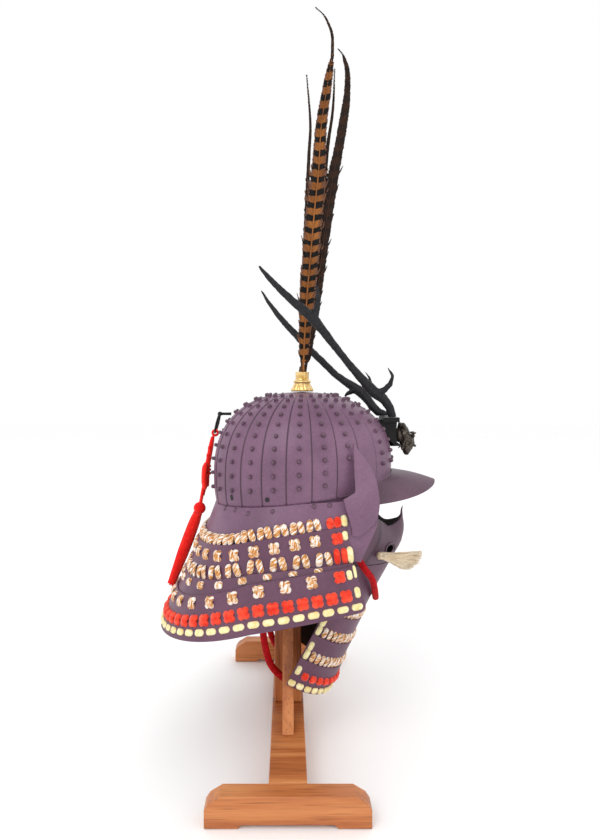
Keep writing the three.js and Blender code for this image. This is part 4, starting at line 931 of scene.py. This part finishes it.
def row_spots(lame, share, first, pitch, heights):
    """Spots of a row whose share of the lame's height changes from front over side to back."""
    arcs, half = row_arcs(lame, share, first, pitch)
    return [neck_spot(lame, arc, float(np.interp(arc / half, [0, 0.5, 1], heights))) for arc in arcs]


def exposed_height(arc):
    """How much of the third lame shows above the fourth, in millimetres."""
    third, fourth = NECK[2][0][0], NECK[3][0][0]
    gap = np.linalg.norm(third - fourth, axis=1)
    return float(np.interp(arc, lengths_along(third), gap)) / MM


def lace_rows(mixed):
    """The mixed silk: upright pairs over the laps and knots on the lames."""
    for arc in row_arcs(2, 0, 39, 19.6)[0]:
        tall_pair(mixed, neck_spot(2, arc, 0, True), 14)
    for arc in row_arcs(3, 0, 33, 26.0)[0]:
        tall_pair(mixed, neck_spot(3, arc, 0, True), 15.5, 4.7, 2.4)
    for spot in row_spots(2, 0.25, 40, 24.6, (0.2, 0.27, 0.2)):
        knot(mixed, spot, 10.5, 12, 8.0)
    for arc in row_arcs(3, 0.2, 41, 29)[0]:
        height = min(12.0, exposed_height(arc) * 0.62)
        if height > 2.5:
            spot = neck_spot(3, arc, 0.0)
            spot.at = spot.at - spot.up * (height * 0.5 + 1.5) * MM
            knot(mixed, spot, 10.5, max(height - 5.5, 1.0), min(7.2, height))
    for arc in row_arcs(4, 0.16, 54, 33)[0]:
        knot(mixed, neck_spot(4, arc, 0.17), 10.5, 12.5, 8.2)


def lace_hem(red, yellow):
    """The rows of red knots and yellow stitches along the fourth lame's lower edge."""
    for spot in row_spots(4, 0.56, 19.5, 17.6, (0.6, 0.53, 0.64)):
        knot(red, spot, 11.6, 11.6, 8.8)
    for spot in row_spots(4, 0.82, 10.5, 17.3, (0.86, 0.79, 0.88)):
        pad(yellow, spot, 13.8, 7.8)


def lace_front(red, yellow):
    """The stitches at the near front corner; arcs are in millimetres from it."""
    for arc in (10, 19):
        tall_one(red, neck_spot(2, arc * MM, 0, True), 12, 9.6, 1.5)
        tall_one(red, neck_spot(3, (arc - 2) * MM, 0, True), 18, 8.0, 0.8)
    for lame, arc, share in ((2, 13, 0.24), (4, 20.5, 0.17)):
        knot(red, neck_spot(lame, arc * MM, share), 11.4, 11.4, 8.6)
    tall_one(yellow, neck_spot(2, 1.5 * MM, 0, True), 13, 8.6, 1.0)
    tall_one(yellow, neck_spot(3, 1.0 * MM, 0, True), 19, 8.0, 0.5)
    for lame, arc, share, size in ((2, 3.2, 0.2, 11), (4, 8.6, 0.165, 11), (4, 5.5, 0.56, 12.5)):
        pad(yellow, neck_spot(lame, arc * MM, share), size, 7, True)
    pad(yellow, neck_spot(4, 1.3 * MM, 0.12), 15, 4.0, True)


def lacing_pieces(prefix, mixed, red, yellow):
    mixed.piece(f"{prefix}_lacing_mixed", MIXED, "white_silk")
    red.piece(f"{prefix}_lacing_red", RED, "red_silk")
    yellow.piece(f"{prefix}_lacing_yellow", YELLOW, "yellow_silk")


def lace_neck():
    mixed, red, yellow = Shape(), Shape(), Shape()
    lace_rows(mixed)
    lace_hem(red, yellow)
    lace_front(red, yellow)
    for shape in (mixed, red, yellow):
        shape.mirror()
    lacing_pieces("neck", mixed, red, yellow)


lace_neck()

# Visor and turned-back flaps
smooth_copy("visor", "visor_plate", DARK_PLUM, bevel=0.0007)
for side in ("right", "left"):
    smooth_copy(f"flap_{side}", f"flap_{side}_plate", PLUM, bevel=0.0006)

# Face mask: shares of half its width, its depth and its height, from the nose to the cheek
MASK_DEPTH = 0.073
MASK_WIDTH = 0.152
MASK_HEIGHT = 0.058
MASK_ORIGIN = HELMET + np.array([0.535 * HALF_LENGTH, 0, -0.69 * BOWL_RISE])
MASK_STATIONS = np.array([
    (0.0, 1.0, 1.0, 0.78, 0.0, 9), (0.1, 0.93, 0.88, 0.775, 0.0, 8), (0.29, 0.72, 0.79, 0.72, 0.01, 7),
    (0.47, 0.57, 0.93, 0.6, 0.02, 6), (0.68, 0.43, 1.08, 0.4, 0.06, 5), (0.88, 0.23, 1.2, 0.16, 0.12, 3),
    (1.0, 0.0, 1.24, -0.08, 0.16, 0),
])
MASK_SHARES = np.linspace(0, 1, 33)[:, None]
HOLE_RADIUS = 0.0055
HOLE = MASK_ORIGIN + np.array([0.69 * MASK_DEPTH, 0, 0.32 * MASK_HEIGHT])


def mask_points(stations, side, share, inset):
    """Points on the mask at stations outwards from the nose, and at shares of the way down from its top."""
    spread, top_reach, top_rise, low_reach, low_rise, bulge = stations.T
    out = unit(np.stack([1 - spread, side * spread, 0 * spread], -1))
    x = (top_reach + (low_reach - top_reach) * share) * MASK_DEPTH
    z = (top_rise + (low_rise - top_rise) * share) * MASK_HEIGHT
    y = side * spread * MASK_WIDTH / 2 + 0 * share
    push = bulge * MM * np.sin(np.pi * share) - inset
    return np.stack([x, y, z], -1) + MASK_ORIGIN + out * push[..., None]


def mask_grid(inset):
    """The mask's surface, [row from the top, column from the near cheek to the far one, xyz]."""
    half = smooth_line(MASK_STATIONS, 10)
    side = np.r_[-np.ones(len(half) - 1), np.ones(len(half))]
    return mask_points(np.vstack([half[:0:-1], half]), side, MASK_SHARES, inset)


def painted_shadow_behind_lame(points):
    """Darkness of the painted shadow line where the mask passes behind the neck guard."""
    spread = np.abs(points[..., 1]) / (MASK_WIDTH / 2)
    return np.exp(-((spread - 0.615 - 0.27 * MASK_SHARES) / 0.03) ** 2) * 1.15


def blacken_inside(piece, grid):
    """Paints the faces of a shell's inner grid, which follow the outer grid's."""
    piece.data.materials.append(INSIDE_BLACK)
    count = (grid.shape[0] - 1) * (grid.shape[1] - 1)
    for face in piece.data.polygons[count:2 * count]:
        face.material_index = 1


def cut_holes(piece):
    """Cuts the hole on each side of the mask with one cylinder across it."""
    bpy.ops.mesh.primitive_cylinder_add(vertices=40, radius=HOLE_RADIUS, depth=MASK_WIDTH * 1.2)
    tool = bpy.context.object
    tool.rotation_euler = (math.pi / 2, 0, 0)
    tool.location = HOLE
    cut = piece.modifiers.new("hole", "BOOLEAN")
    cut.object = tool
    cut.solver = "EXACT"
    apply_modifiers(piece)
    bpy.data.objects.remove(tool)


def make_mask():
    shape = Shape()
    outer = mask_grid(0)
    verts, faces = shell(outer, mask_grid(WALL))
    dark = np.zeros((len(verts), 3))
    # Mark x of the outer face carries the painted shadow line behind the neck guard
    dark[:len(verts) // 2, 0] = painted_shadow_behind_lame(outer).ravel()
    shape.add(verts, faces, dark)
    piece = shape.piece("mask_plate", DARK_PLUM, "lacquered_iron", "face_mask")
    blacken_inside(piece, outer)
    cut_holes(piece)
    soften_edges(piece, 0.0006)


make_mask()


def mask_details():
    """The nose spike and a raised curve round each hole."""
    shape = Shape()
    grid = mask_grid(0)
    middle = grid.shape[1] // 2
    nose = grid[0, middle] - (0.001, 0, 0)
    spike = [nose + (0, 0, -0.003), nose + (0.0002, 0, 0.0055), nose + (0.0016, 0, 0.011)]
    shape.add_tube(smooth_line(spike, 5), np.linspace(0.0019, 0.0004, 11), 8)
    tree = BVHTree.FromPolygons(
        [Vector(v) for v in grid.reshape(-1, 3)], [tuple(f) for f in grid_faces(*grid.shape[:2])]
    )
    for side in (-1, 1):
        ring = []
        for angle in np.linspace(-0.6, 3.9, 22):
            x = HOLE[0] + math.cos(angle) * HOLE_RADIUS * 1.45
            z = HOLE[2] + math.sin(angle) * HOLE_RADIUS * 1.45
            hit = tree.ray_cast(Vector((x, side * 0.2, z)), Vector((0, -side, 0)))[0]
            if hit is not None:
                ring.append(np.array(hit))
        taper = np.sin(np.linspace(0.25, np.pi - 0.25, len(ring))) ** 0.5
        shape.add_tube(ring, 0.0015 * taper, 8)
    shape.piece("mask_details", DARK_PLUM, "lacquered_iron")


mask_details()

# The moustache: loose hair in a fan, from a small pad on each side of the lip
HAIR_LENGTH = 0.056
HAIR_FAN = np.array([
    (0.97, 0.2, 0.03), (0.98, 0.24, -0.07), (0.94, 0.26, -0.17), (0.88, 0.28, -0.27), (0.76, 0.3, -0.38),
    (0.56, 0.3, -0.36),
])
HAIR_COUNT = 720
HAIR_STATION = 4
HAIR_SHARE = 0.78
HAIR_PAD_LIFT = 0.005
FAR_HAIR_SCALE = (0.86, 0.95, 0.95)


def hair_root():
    """The middle of the pad that the near moustache grows from."""
    return mask_points(MASK_STATIONS[HAIR_STATION], -1, HAIR_SHARE, -HAIR_PAD_LIFT)


def make_moustache():
    shape = Shape()
    root = hair_root()
    for _ in range(HAIR_COUNT):
        aim = point_at(HAIR_FAN, np.arange(len(HAIR_FAN)), rng.uniform(0, len(HAIR_FAN) - 1))
        reach = HAIR_LENGTH * rng.uniform(0.92, 1.0)
        tip = root + aim * reach + rng.normal(0, 0.0016, 3)
        start = root + rng.normal(0, 0.0014, 3)
        bend = start + (tip - start) * 0.5 + (0.002, -0.004, 0.001) + rng.normal(0, 0.0011, 3)
        line = smooth_line([start, bend, tip], 4)
        shape.add_tube(line, np.linspace(0.0006, 0.00035, len(line)), 4, tone=rng.uniform(0.1, 0.5))
    pad_line = [root + (0.001, 0.002, 0.003), root, root + (0.001, -0.001, -0.004)]
    shape.add_tube(smooth_line(pad_line, 4), [0.002] + [0.0042] * 7 + [0.002], 10, tone=0.2)
    verts, faces, marks = np.vstack(shape.verts), shape.faces, np.vstack(shape.marks)
    shape.piece("moustache_right_hair", HAIR, "hair", "moustache_right")
    other = Shape()
    far_root = root * (1, -1, 1)
    far_hair = far_root + (verts * (1, -1, 1) - far_root) * FAR_HAIR_SCALE
    other.add(far_hair, [face[::-1] for face in faces], marks)
    other.piece("moustache_left_hair", HAIR, "hair", "moustache_left")


make_moustache()

# Throat guard: a tilted half oval of four lames that hangs from under the mask
THROAT_TILT = math.radians(28)
THROAT_WIDTH = 0.134
THROAT_DEPTH = 0.052
THROAT_PITCH = 0.033
THROAT_LAME_HEIGHT = 0.038
THROAT_DROP = 0.086
THROAT_STEP_OUT = 0.0028
THROAT_FLARE = 0.15
THROAT_BACK = 0.12
THROAT_BACK_FROM = 5 / 6
THROAT_COLUMNS = 49
RIBBON_PITCH = 0.0075
PAD_PITCH = 0.0115
STITCH_LIFT = 0.0002


def tilted(points):
    cos, sin = math.cos(THROAT_TILT), math.sin(THROAT_TILT)
    x, y, z = points[..., 0], points[..., 1], points[..., 2]
    return np.stack([x * cos + z * sin, y, z * cos - x * sin], -1)


def throat_edge(drop, step):
    """Points and outward directions at a drop below the chin; step counts the lames' laps outwards."""
    chin = MASK_ORIGIN + np.array([MASK_STATIONS[0][3] * MASK_DEPTH - WALL, 0, 0])
    depth = THROAT_DEPTH + step * THROAT_STEP_OUT
    width = THROAT_WIDTH / 2 + step * THROAT_STEP_OUT
    angle = np.linspace(-np.pi / 2, np.pi / 2, THROAT_COLUMNS)
    reach = depth * np.cos(angle)
    back = np.clip((np.abs(angle) / (np.pi / 2) - THROAT_BACK_FROM) / (1 - THROAT_BACK_FROM), 0, 1)
    ahead = reach - THROAT_BACK * depth * back - THROAT_DEPTH
    at = np.stack([ahead, width * np.sin(angle), 0 * angle - drop], 1)
    out = unit(np.stack([np.cos(angle) / depth, np.sin(angle) / width, 0 * angle], 1))
    return tilted(at) + chin, tilted(out)


def under_mask():
    """Points and outward directions along the mask's lower edge."""
    edge = mask_grid(0)[-1] - (0, 0, 2 * LAME_GAP)
    line = point_at(edge, np.linspace(0, 1, len(edge)), np.linspace(0, 1, THROAT_COLUMNS))
    spread = np.abs(line[:, 1]) / (MASK_WIDTH / 2)
    return line, unit(np.stack([1 - spread, np.sign(line[:, 1]) * spread, 0 * spread], 1))


def throat_rows():
    lap = THROAT_LAME_HEIGHT - THROAT_PITCH
    first = [under_mask(), throat_edge(THROAT_DROP * 0.45, 0), throat_edge(THROAT_DROP + lap, THROAT_FLARE)]
    rows = [first]
    for i in range(1, 4):
        drop = THROAT_DROP + (i - 1) * THROAT_PITCH
        rows.append([throat_edge(drop, i), throat_edge(drop + THROAT_LAME_HEIGHT, i + THROAT_FLARE)])
    return rows


THROAT = throat_rows()


def make_throat_guard():
    for i, rows in enumerate(THROAT):
        outer, outs = fine_rows(rows, np.linspace(0, 1, 9))
        shape = Shape()
        shape.add(*shell(outer, outer - outs * WALL))
        name = f"throat_plate_{i + 1}"
        piece = shape.piece(name, LAME_PLUM, "lacquered_iron", f"throat_lame_{i + 1}", bevel=0.0007)
        blacken_inside(piece, outer)


make_throat_guard()


def throat_spot(lame, arc, share, above=False):
    """A spot on a throat lame, arc metres from its near back corner, and the lame's length."""
    rows = THROAT[lame - 1]
    at, ahead, up, along = along_lame(rows, arc, share)
    out = point_at(rows[0][1], along, arc)
    if above:
        at = at - out * (THROAT_STEP_OUT - STITCH_LIFT)
    spot = Spot(at, ahead, up)
    if spot.out.dot(out) < 0:
        spot.out = -spot.out
    return spot, along[-1]


def lace_throat():
    mixed, red, yellow = Shape(), Shape(), Shape()
    for lame in (2, 3, 4):
        length = throat_spot(lame, 0, 0)[1]
        count = int((length - 0.02) / RIBBON_PITCH) + 1
        for arc in np.linspace(0.014, length - 0.014, count):
            tall_one(mixed, throat_spot(lame, arc, 0.0, True)[0], 13, 6.4, 1.6)
        for arc in (0.005, length - 0.005):
            tall_one(yellow, throat_spot(lame, arc, 0.0, True)[0], 13, 7.5, 0.8)
            pad(yellow, throat_spot(lame, arc, 0.4)[0], 12, 7, True)
    length = throat_spot(4, 0, 0.9)[1]
    last = int((length - 0.01) / PAD_PITCH)
    for k, arc in enumerate(np.linspace(0.005, length - 0.005, last + 1)):
        pad(yellow, throat_spot(4, arc, 0.86)[0], 9.5, 8.6)
        if 0 < k < last:
            knot(red, throat_spot(4, arc, 0.5)[0], 6.5, 8, 7.6)
    lacing_pieces("throat", mixed, red, yellow)


lace_throat()

# Crown fitting: rows of radius, height and how deeply petals are cut into it
FITTING_ROWS = [
    (0.5, 0.0, 0), (15.0, 0.2, 0.5), (15.5, 1.6, 0.5), (15.2, 3.2, 0.5), (13.8, 5.6, 0.45), (12.4, 8.4, 0.35),
    (11.0, 10.2, 0.2), (10.3, 11.2, 0), (12.0, 12.3, 0), (12.2, 13.6, 0), (11.6, 14.7, 0), (9.6, 15.6, 0),
    (9.2, 18, 0), (9.3, 25.5, 0), (9.7, 26.4, 0), (9.4, 27, 0), (8.4, 27, 0), (8.0, 26.2, 0), (7.9, 15.2, 0),
    (0.5, 15.0, 0),
]
PETALS = 16
PETAL_DEPTH = 3.4


def make_crown_fitting():
    sides = PETALS * 6
    turn = np.arange(sides) * 2 * np.pi / sides
    petal = np.abs(np.cos(turn * PETALS / 2))
    seat = HELMET + np.array([0, 0, BOWL_RISE + LAME_GAP])
    rings = []
    for radius, height, depth in FITTING_ROWS:
        reach = (radius - depth * PETAL_DEPTH * (1 - petal ** 0.6)) * MM
        ring = np.stack([reach * np.cos(turn), reach * np.sin(turn), 0 * turn + height * MM], 1)
        rings.append(ring + seat)
    shape = Shape()
    shape.add(np.vstack(rings), capped_faces(len(FITTING_ROWS), sides))
    shape.piece("gilt_fitting", GILT, "gilt", "crown_fitting")


make_crown_fitting()

# Feathers: rise and shift as shares of their height, width in millimetres
FEATHER_HEIGHT = 0.512
FEATHERS = [
    {"name": "barred", "depth": -3.0, "dark": 0.0, "rows": [
        (0.0, 0.002, 5), (0.06, 0.004, 12), (0.14, 0.008, 18), (0.26, 0.016, 23), (0.42, 0.03, 24),
        (0.56, 0.044, 19), (0.68, 0.051, 15.5), (0.78, 0.066, 12.5), (0.86, 0.079, 7.0), (0.885, 0.081, 3.6),
        (0.92, 0.081, 3.4), (0.965, 0.066, 2.8), (1.0, 0.035, 1.0)]},
    {"name": "dark", "depth": 0.6, "dark": 0.93, "rows": [
        (0.0, 0.006, 5), (0.08, 0.018, 9), (0.2, 0.038, 10), (0.36, 0.056, 15), (0.5, 0.076, 15.5),
        (0.62, 0.098, 13), (0.7, 0.112, 12), (0.77, 0.121, 9), (0.83, 0.122, 7), (0.87, 0.112, 5),
        (0.893, 0.096, 1.2)]},
    {"name": "thin_back", "depth": -1.2, "dark": 0.95, "rows": [
        (0.0, -0.002, 3), (0.3, 0.006, 6), (0.6, 0.018, 4), (0.68, 0.022, 3), (0.82, 0.012, 1)]},
    {"name": "thin_front", "depth": 2.6, "dark": 0.95, "rows": [
        (0.0, 0.004, 3), (0.3, 0.045, 6), (0.6, 0.066, 4.5), (0.72, 0.082, 3.2), (0.84, 0.088, 1)]},
]
BARB_SPACING = 0.0021
LOWEST_BAR = 0.5939
BARRED_HEIGHT = 0.3055
BAR_COUNT = 17
TIP_HEIGHT = 0.905
WISP_HEIGHT = 0.75
BARB_SLOPE = math.radians(24)
SHAFT_POINTS = 90


def bar_phase(height):
    """Counts the bars up the feather; they stand closer together lower down."""
    share = (height - LOWEST_BAR) / BARRED_HEIGHT
    return BAR_COUNT * (1.13 * share - 0.13 * share ** 2)


def add_barb(shape, feather, root, lift, bow):
    """One barb from the shaft, lift upwards and bow to its side, marked for the feather's paint."""
    points = [
        root, root + lift * 0.35 + (bow * 0.42, 0, 0), root + lift * 0.7 + (bow * 0.78, 0.0003, 0),
        root + lift + (bow, 0.0008 * rng.uniform(-1, 1), 0),
    ]
    points = np.array(points) - (0, 0.0007 * rng.uniform(0, 1), 0)
    verts, faces, _, _ = tube(points, [0.0008, 0.0011, 0.001, 0.0004], 4, 0.3, (0, -1, 0))
    bars = bar_phase(verts[:, 2] - 0.25 * np.abs(verts[:, 0] - root[0]))
    across = np.repeat([0.05, 0.42, 0.78, 1.0], 4)
    darkness = 0.95 if root[2] > TIP_HEIGHT else feather["dark"]
    dark = np.full(len(verts), darkness + rng.uniform(-0.05, 0.05))
    shape.add(verts, faces, np.stack([bars, across, dark], 1))


def make_feather(shape, feather, foot):
    rise, shift, width = np.array(feather["rows"]).T
    rows = np.stack([shift * FEATHER_HEIGHT, 0 * rise, rise * FEATHER_HEIGHT, width], 1)
    line = smooth_line(rows, 16)
    half_width = line[:, 3] * MM / 2
    spine = line[:, :3] + foot + (0, feather["depth"] * MM, 0)
    along = lengths_along(spine)
    length = along[-1]
    taper = np.linspace(0.0016, 0.0003, len(along))
    radii = np.interp(np.linspace(0, length, SHAFT_POINTS), along, taper)
    verts, faces, _, _ = tube(evenly(spine, SHAFT_POINTS), radii, 8)
    shape.add(verts, faces, (0.5, 0.6, feather["dark"]))
    for side in (-1, 1):
        arc = 0.022
        while arc < length - 0.001:
            reach = np.interp(arc + 0.012, along, half_width) * rng.uniform(0.9, 1.06)
            root = point_at(spine, along, arc)
            if rng.random() < 0.09 and root[2] < WISP_HEIGHT:
                reach *= rng.uniform(1.15, 1.4)
            top = min(arc + reach / math.tan(BARB_SLOPE), length)
            add_barb(shape, feather, root, point_at(spine, along, top) - root, side * reach)
            arc += BARB_SPACING


def make_feathers():
    foot = HELMET + np.array([0, 0, BOWL_RISE + 0.0154 + 2 * LAME_GAP + 0.001])
    shape = Shape()
    for feather in FEATHERS:
        make_feather(shape, feather, foot)
    quill = [foot + (0, 0, z) for z in (0, 0.006, 0.012, 0.018)]
    verts, faces, _, _ = tube(quill, [0.005, 0.0048, 0.0046, 0.0036], 12)
    shape.add(verts, faces, (0.5, 0.6, 0.8))
    shape.piece("feather_plume", FEATHER, "feather", "feathers")


make_feathers()

# Crest
smooth_copy("crest_bracket", "bracket", IRON, levels=0, bevel=0.0008)
for side in ("right", "left"):
    organic_copy(f"antler_{side}", f"antler_{side}_beam", HORN, 0.0011, 0.0013, 0.006)
organic_copy("crest_head", "beast_head", BRONZE, 0.0007, 0.0018, 0.004, 3)


def beast_eye(shape, eye, side):
    """An eye with its brow."""
    shape.add_tube([eye - (0.002, 0, 0), eye, eye + (0.0016, 0, -0.0004)], [0.0022, 0.0026, 0.0008], 10)
    offsets = [(0.0005, -side * 0.004, 0.003), (0.002, 0, 0.0042), (-0.001, side * 0.005, 0.0034)]
    shape.add_tube(smooth_line([eye + offset for offset in offsets], 4), 0.0013, 8)


def beast_fur(shape, cheek, size, side):
    """Seven locks down one cheek."""
    for k in range(7):
        root = cheek + (-0.001 * k, -side * 0.0002 * k, -size * 0.075 * k)
        tip = root + (-0.0045, side * 0.0036, -0.0035)
        lock = [root, (root + tip) / 2 + (0, side * 0.001, 0.001), tip]
        shape.add_tube(smooth_line(lock, 3), np.linspace(0.0017, 0.0005, 7), 7)


def beast_details():
    """Brow, eyes, nostrils, muzzle ridge, the fur at the cheeks and a neck behind the head."""
    low, high = (np.array(corner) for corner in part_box("crest_head"))
    top, size = high[2], high[2] - low[2]
    middle_x = (low[0] + high[0]) / 2
    shape = Shape()
    for side in (-1, 1):
        beast_eye(shape, np.array([middle_x + 0.0095, side * 0.0062, top - size * 0.42]), side)
        nostril = np.array([middle_x + 0.0118, side * 0.0035, top - size * 0.72])
        snout = [nostril - (0.001, 0, 0), nostril, nostril + (0.0014, 0, 0)]
        shape.add_tube(snout, [0.0018, 0.002, 0.0008], 8)
        beast_fur(shape, np.array([middle_x + 0.002, side * 0.0088, top - size * 0.3]), size, side)
    neck = [(low[0] + back, 0, top - size * 0.4) for back in (-0.0009, 0.0, 0.003, 0.006)]
    shape.add_tube(neck, [0.0085, 0.0095, 0.011, 0.009], 16)
    ridge = [(middle_x + 0.0095, 0, top - size * (0.3 + 0.09 * k)) for k in range(5)]
    shape.add_tube(smooth_line(ridge, 3), 0.0018, 8)
    shape.piece("beast_details", BRONZE, "bronze")


beast_details()

# Tassel
smooth_copy("tassel_ring", "ring_and_staple", IRON, levels=1, angle=80, bevel=0)
TASSEL_LEAN = math.radians(20.5)
TASSEL_LENGTH = 0.112
TASSEL_THREADS = 84
RING_WIRE = 0.0018


def tassel_cord(shape, start, drop):
    """The cord from the ring down to the tassel, looped round the ring's lowest wire, with two knots."""
    line = smooth_line([start + drop * share for share in (0, 0.16, 0.45, 0.75, 1)], 10)
    radii = [0.0026, 0.0034, 0.0036, 0.0024, 0.0024]
    shape.add_tube(line, np.interp(np.linspace(0, 1, len(line)), [0, 0.2, 0.45, 0.7, 1], radii), 12)
    ring_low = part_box("tassel_ring")[0]
    wire = np.array([ring_low[0] + RING_WIRE, 0, ring_low[2] + 0.0016])
    turns = np.linspace(-1.9, 4.6, 13)
    loop = [wire + 0.0036 * np.array([math.cos(a), 0.12 * math.sin(a), math.sin(a)]) for a in turns]
    shape.add_tube(smooth_line([start, *loop], 4), 0.0017, 10)
    for share, size in ((0.16, 4.6), (0.27, 5.2)):
        at = start + drop * share
        for k, turn in enumerate((0.5, -0.6, 1.5)):
            way = np.array([0.25 * math.cos(turn), math.cos(turn), math.sin(turn)]) * size * MM
            shape.add_tube(smooth_line([at - way, at + (-0.001 * k, 0, 0), at + way], 5), 0.0021, 10)


def tassel_bow(shape, middle):
    """Two loops and a tail on each side of the middle, bound by three rings."""
    for side in (-1, 1):
        for reach, drop, depth in ((1.0, 0.0, 0.0), (0.62, 0.004, 0.0022)):
            offsets = [
                (0, 0, 0), (-depth, side * 0.012 * reach, 0.008 - drop),
                (-0.001 - depth, side * 0.0165 * reach, -0.004 - drop),
                (-0.001 - depth, side * 0.011 * reach, -0.024 + drop), (0, side * 0.003, -0.006),
            ]
            shape.add_tube(smooth_line([middle + offset for offset in offsets], 8), 0.0028, 10)
        tail = [
            (-0.001, side * 0.002, 0.002), (-0.003, side * 0.009, -0.01), (-0.004, side * 0.01, -0.028),
            (-0.006, side * 0.008, -0.038),
        ]
        shape.add_tube(smooth_line([middle + offset for offset in tail], 6), 0.0018, 10)
    for height in (0.004, -0.001, -0.006):
        turns = np.linspace(0, 6.1, 14)
        ring = [middle + (0.0042 * math.cos(a), 0.0056 * math.sin(a), height) for a in turns]
        shape.add_tube(ring, 0.002, 8)


def make_tassel():
    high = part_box("tassel")[1]
    head = HELMET + np.array([-1.165 * HALF_LENGTH, 0, -0.2 * BOWL_RISE])
    start = np.array([high[0] - 0.0032, 0, high[2] - 0.0015])
    shape = Shape()
    tassel_cord(shape, start, head - start)
    tassel_bow(shape, start + (head - start) * 0.45)
    tassel_threads(shape, head)
    shape.piece("tassel_threads", TASSEL_RED, "red_silk", "tassel")


def tassel_threads(shape, head):
    """The ball, a core, and threads that hang over the core from a wrapping."""
    down = np.array([-math.sin(TASSEL_LEAN), 0, -math.cos(TASSEL_LEAN)]) * TASSEL_LENGTH
    across = np.array([math.cos(TASSEL_LEAN), 0, -math.sin(TASSEL_LEAN)])
    sideways = np.array([0, 1.0, 0])
    ball_rows = [(-0.076, 0.8), (-0.062, 4.8), (-0.035, 7.5), (0.0, 8.6), (0.035, 7.5), (0.06, 5.2)]
    ball = [head + down * share for share, _ in ball_rows]
    shape.add_tube(ball, [radius * MM for _, radius in ball_rows], 24, tone=-0.2)
    shares = np.array([0.05, 0.06, 0.065, 0.07, 0.1, 0.16, 0.3, 0.6, 0.97])
    radii = np.array([3.0, 4.6, 5.0, 5.2, 6.4, 7.4, 8.0, 7.8, 5.4]) * MM
    shape.add_tube([head + down * share for share in shares], radii * 0.9, 18)
    for k in range(TASSEL_THREADS):
        angle = 2 * np.pi * k / TASSEL_THREADS + rng.uniform(-0.02, 0.02)
        way = across * math.cos(angle) + sideways * math.sin(angle)
        drift = np.cross(down / TASSEL_LENGTH, way) * rng.uniform(-0.1, 0.1)
        line = [
            head + down * share + (way + drift * share) * (radius * 0.93)
            for share, radius in zip(shares[3:], radii[3:])
        ]
        line.append(line[-1] + down / TASSEL_LENGTH * rng.uniform(0.0, 0.004))
        shape.add_tube(smooth_line(line, 2), 0.00055, 5, tone=rng.uniform(-0.15, 0.1))
    turns = np.linspace(0, 6.2, 20)[:, None]
    wrapping = head + down * 0.072 + (across * np.cos(turns) + sideways * np.sin(turns)) * 0.0052
    shape.add_tube(wrapping, 0.0014, 8)


make_tassel()

# The wooden stand keeps its solids' shapes, with softened edges
for node in ("foot_right", "foot_left", "beam", "post", "strut_right", "strut_left", "head_rest"):
    smooth_copy(f"stand_{node}", f"wood_{node}", WOOD, levels=0, bevel=0.0012)


# Floor, light and background
def make_floor():
    size = 6.0
    mesh = bpy.data.meshes.new("floor")
    corners = [(x * size, y * size, -0.0005) for x, y in ((-1, -1), (1, -1), (1, 1), (-1, 1))]
    mesh.from_pydata(corners, [], [(0, 1, 2, 3)])
    floor = bpy.data.objects.new("floor", mesh)
    bpy.context.collection.objects.link(floor)
    paint = Paint("floor", Roughness=0.8)
    whites = [(0.3, (0.985, 0.985, 0.985, 1)), (0.7, (0.995, 0.995, 0.995, 1))]
    paint.wire("Base Color", paint.ramp(paint.noise(3, 3), whites))
    mesh.materials.append(paint.material)


def area_light(name, at, aim, size, power):
    data = bpy.data.lights.new(name, "AREA")
    data.shape = "DISK"
    data.size = size
    data.energy = power
    light = bpy.data.objects.new(name, data)
    light.location = at
    light.rotation_euler = (Vector(aim) - Vector(at)).to_track_quat("-Z", "Y").to_euler()
    bpy.context.collection.objects.link(light)


def make_light():
    world = bpy.data.worlds.new("studio")
    world.use_nodes = True
    background = world.node_tree.nodes["Background"].inputs
    background["Color"].default_value = (1, 1, 1, 1)
    background["Strength"].default_value = 1.0
    bpy.context.scene.world = world
    middle = (0, 0, 0.4)
    area_light("key", (-0.9, -1.6, 1.9), middle, 1.2, 15)
    area_light("fill", (1.5, -1.3, 0.9), middle, 1.4, 3)
    area_light("back", (0.3, 1.6, 1.6), middle, 1.4, 4)
    bpy.context.scene.view_settings.view_transform = "Standard"


make_floor()
make_light()
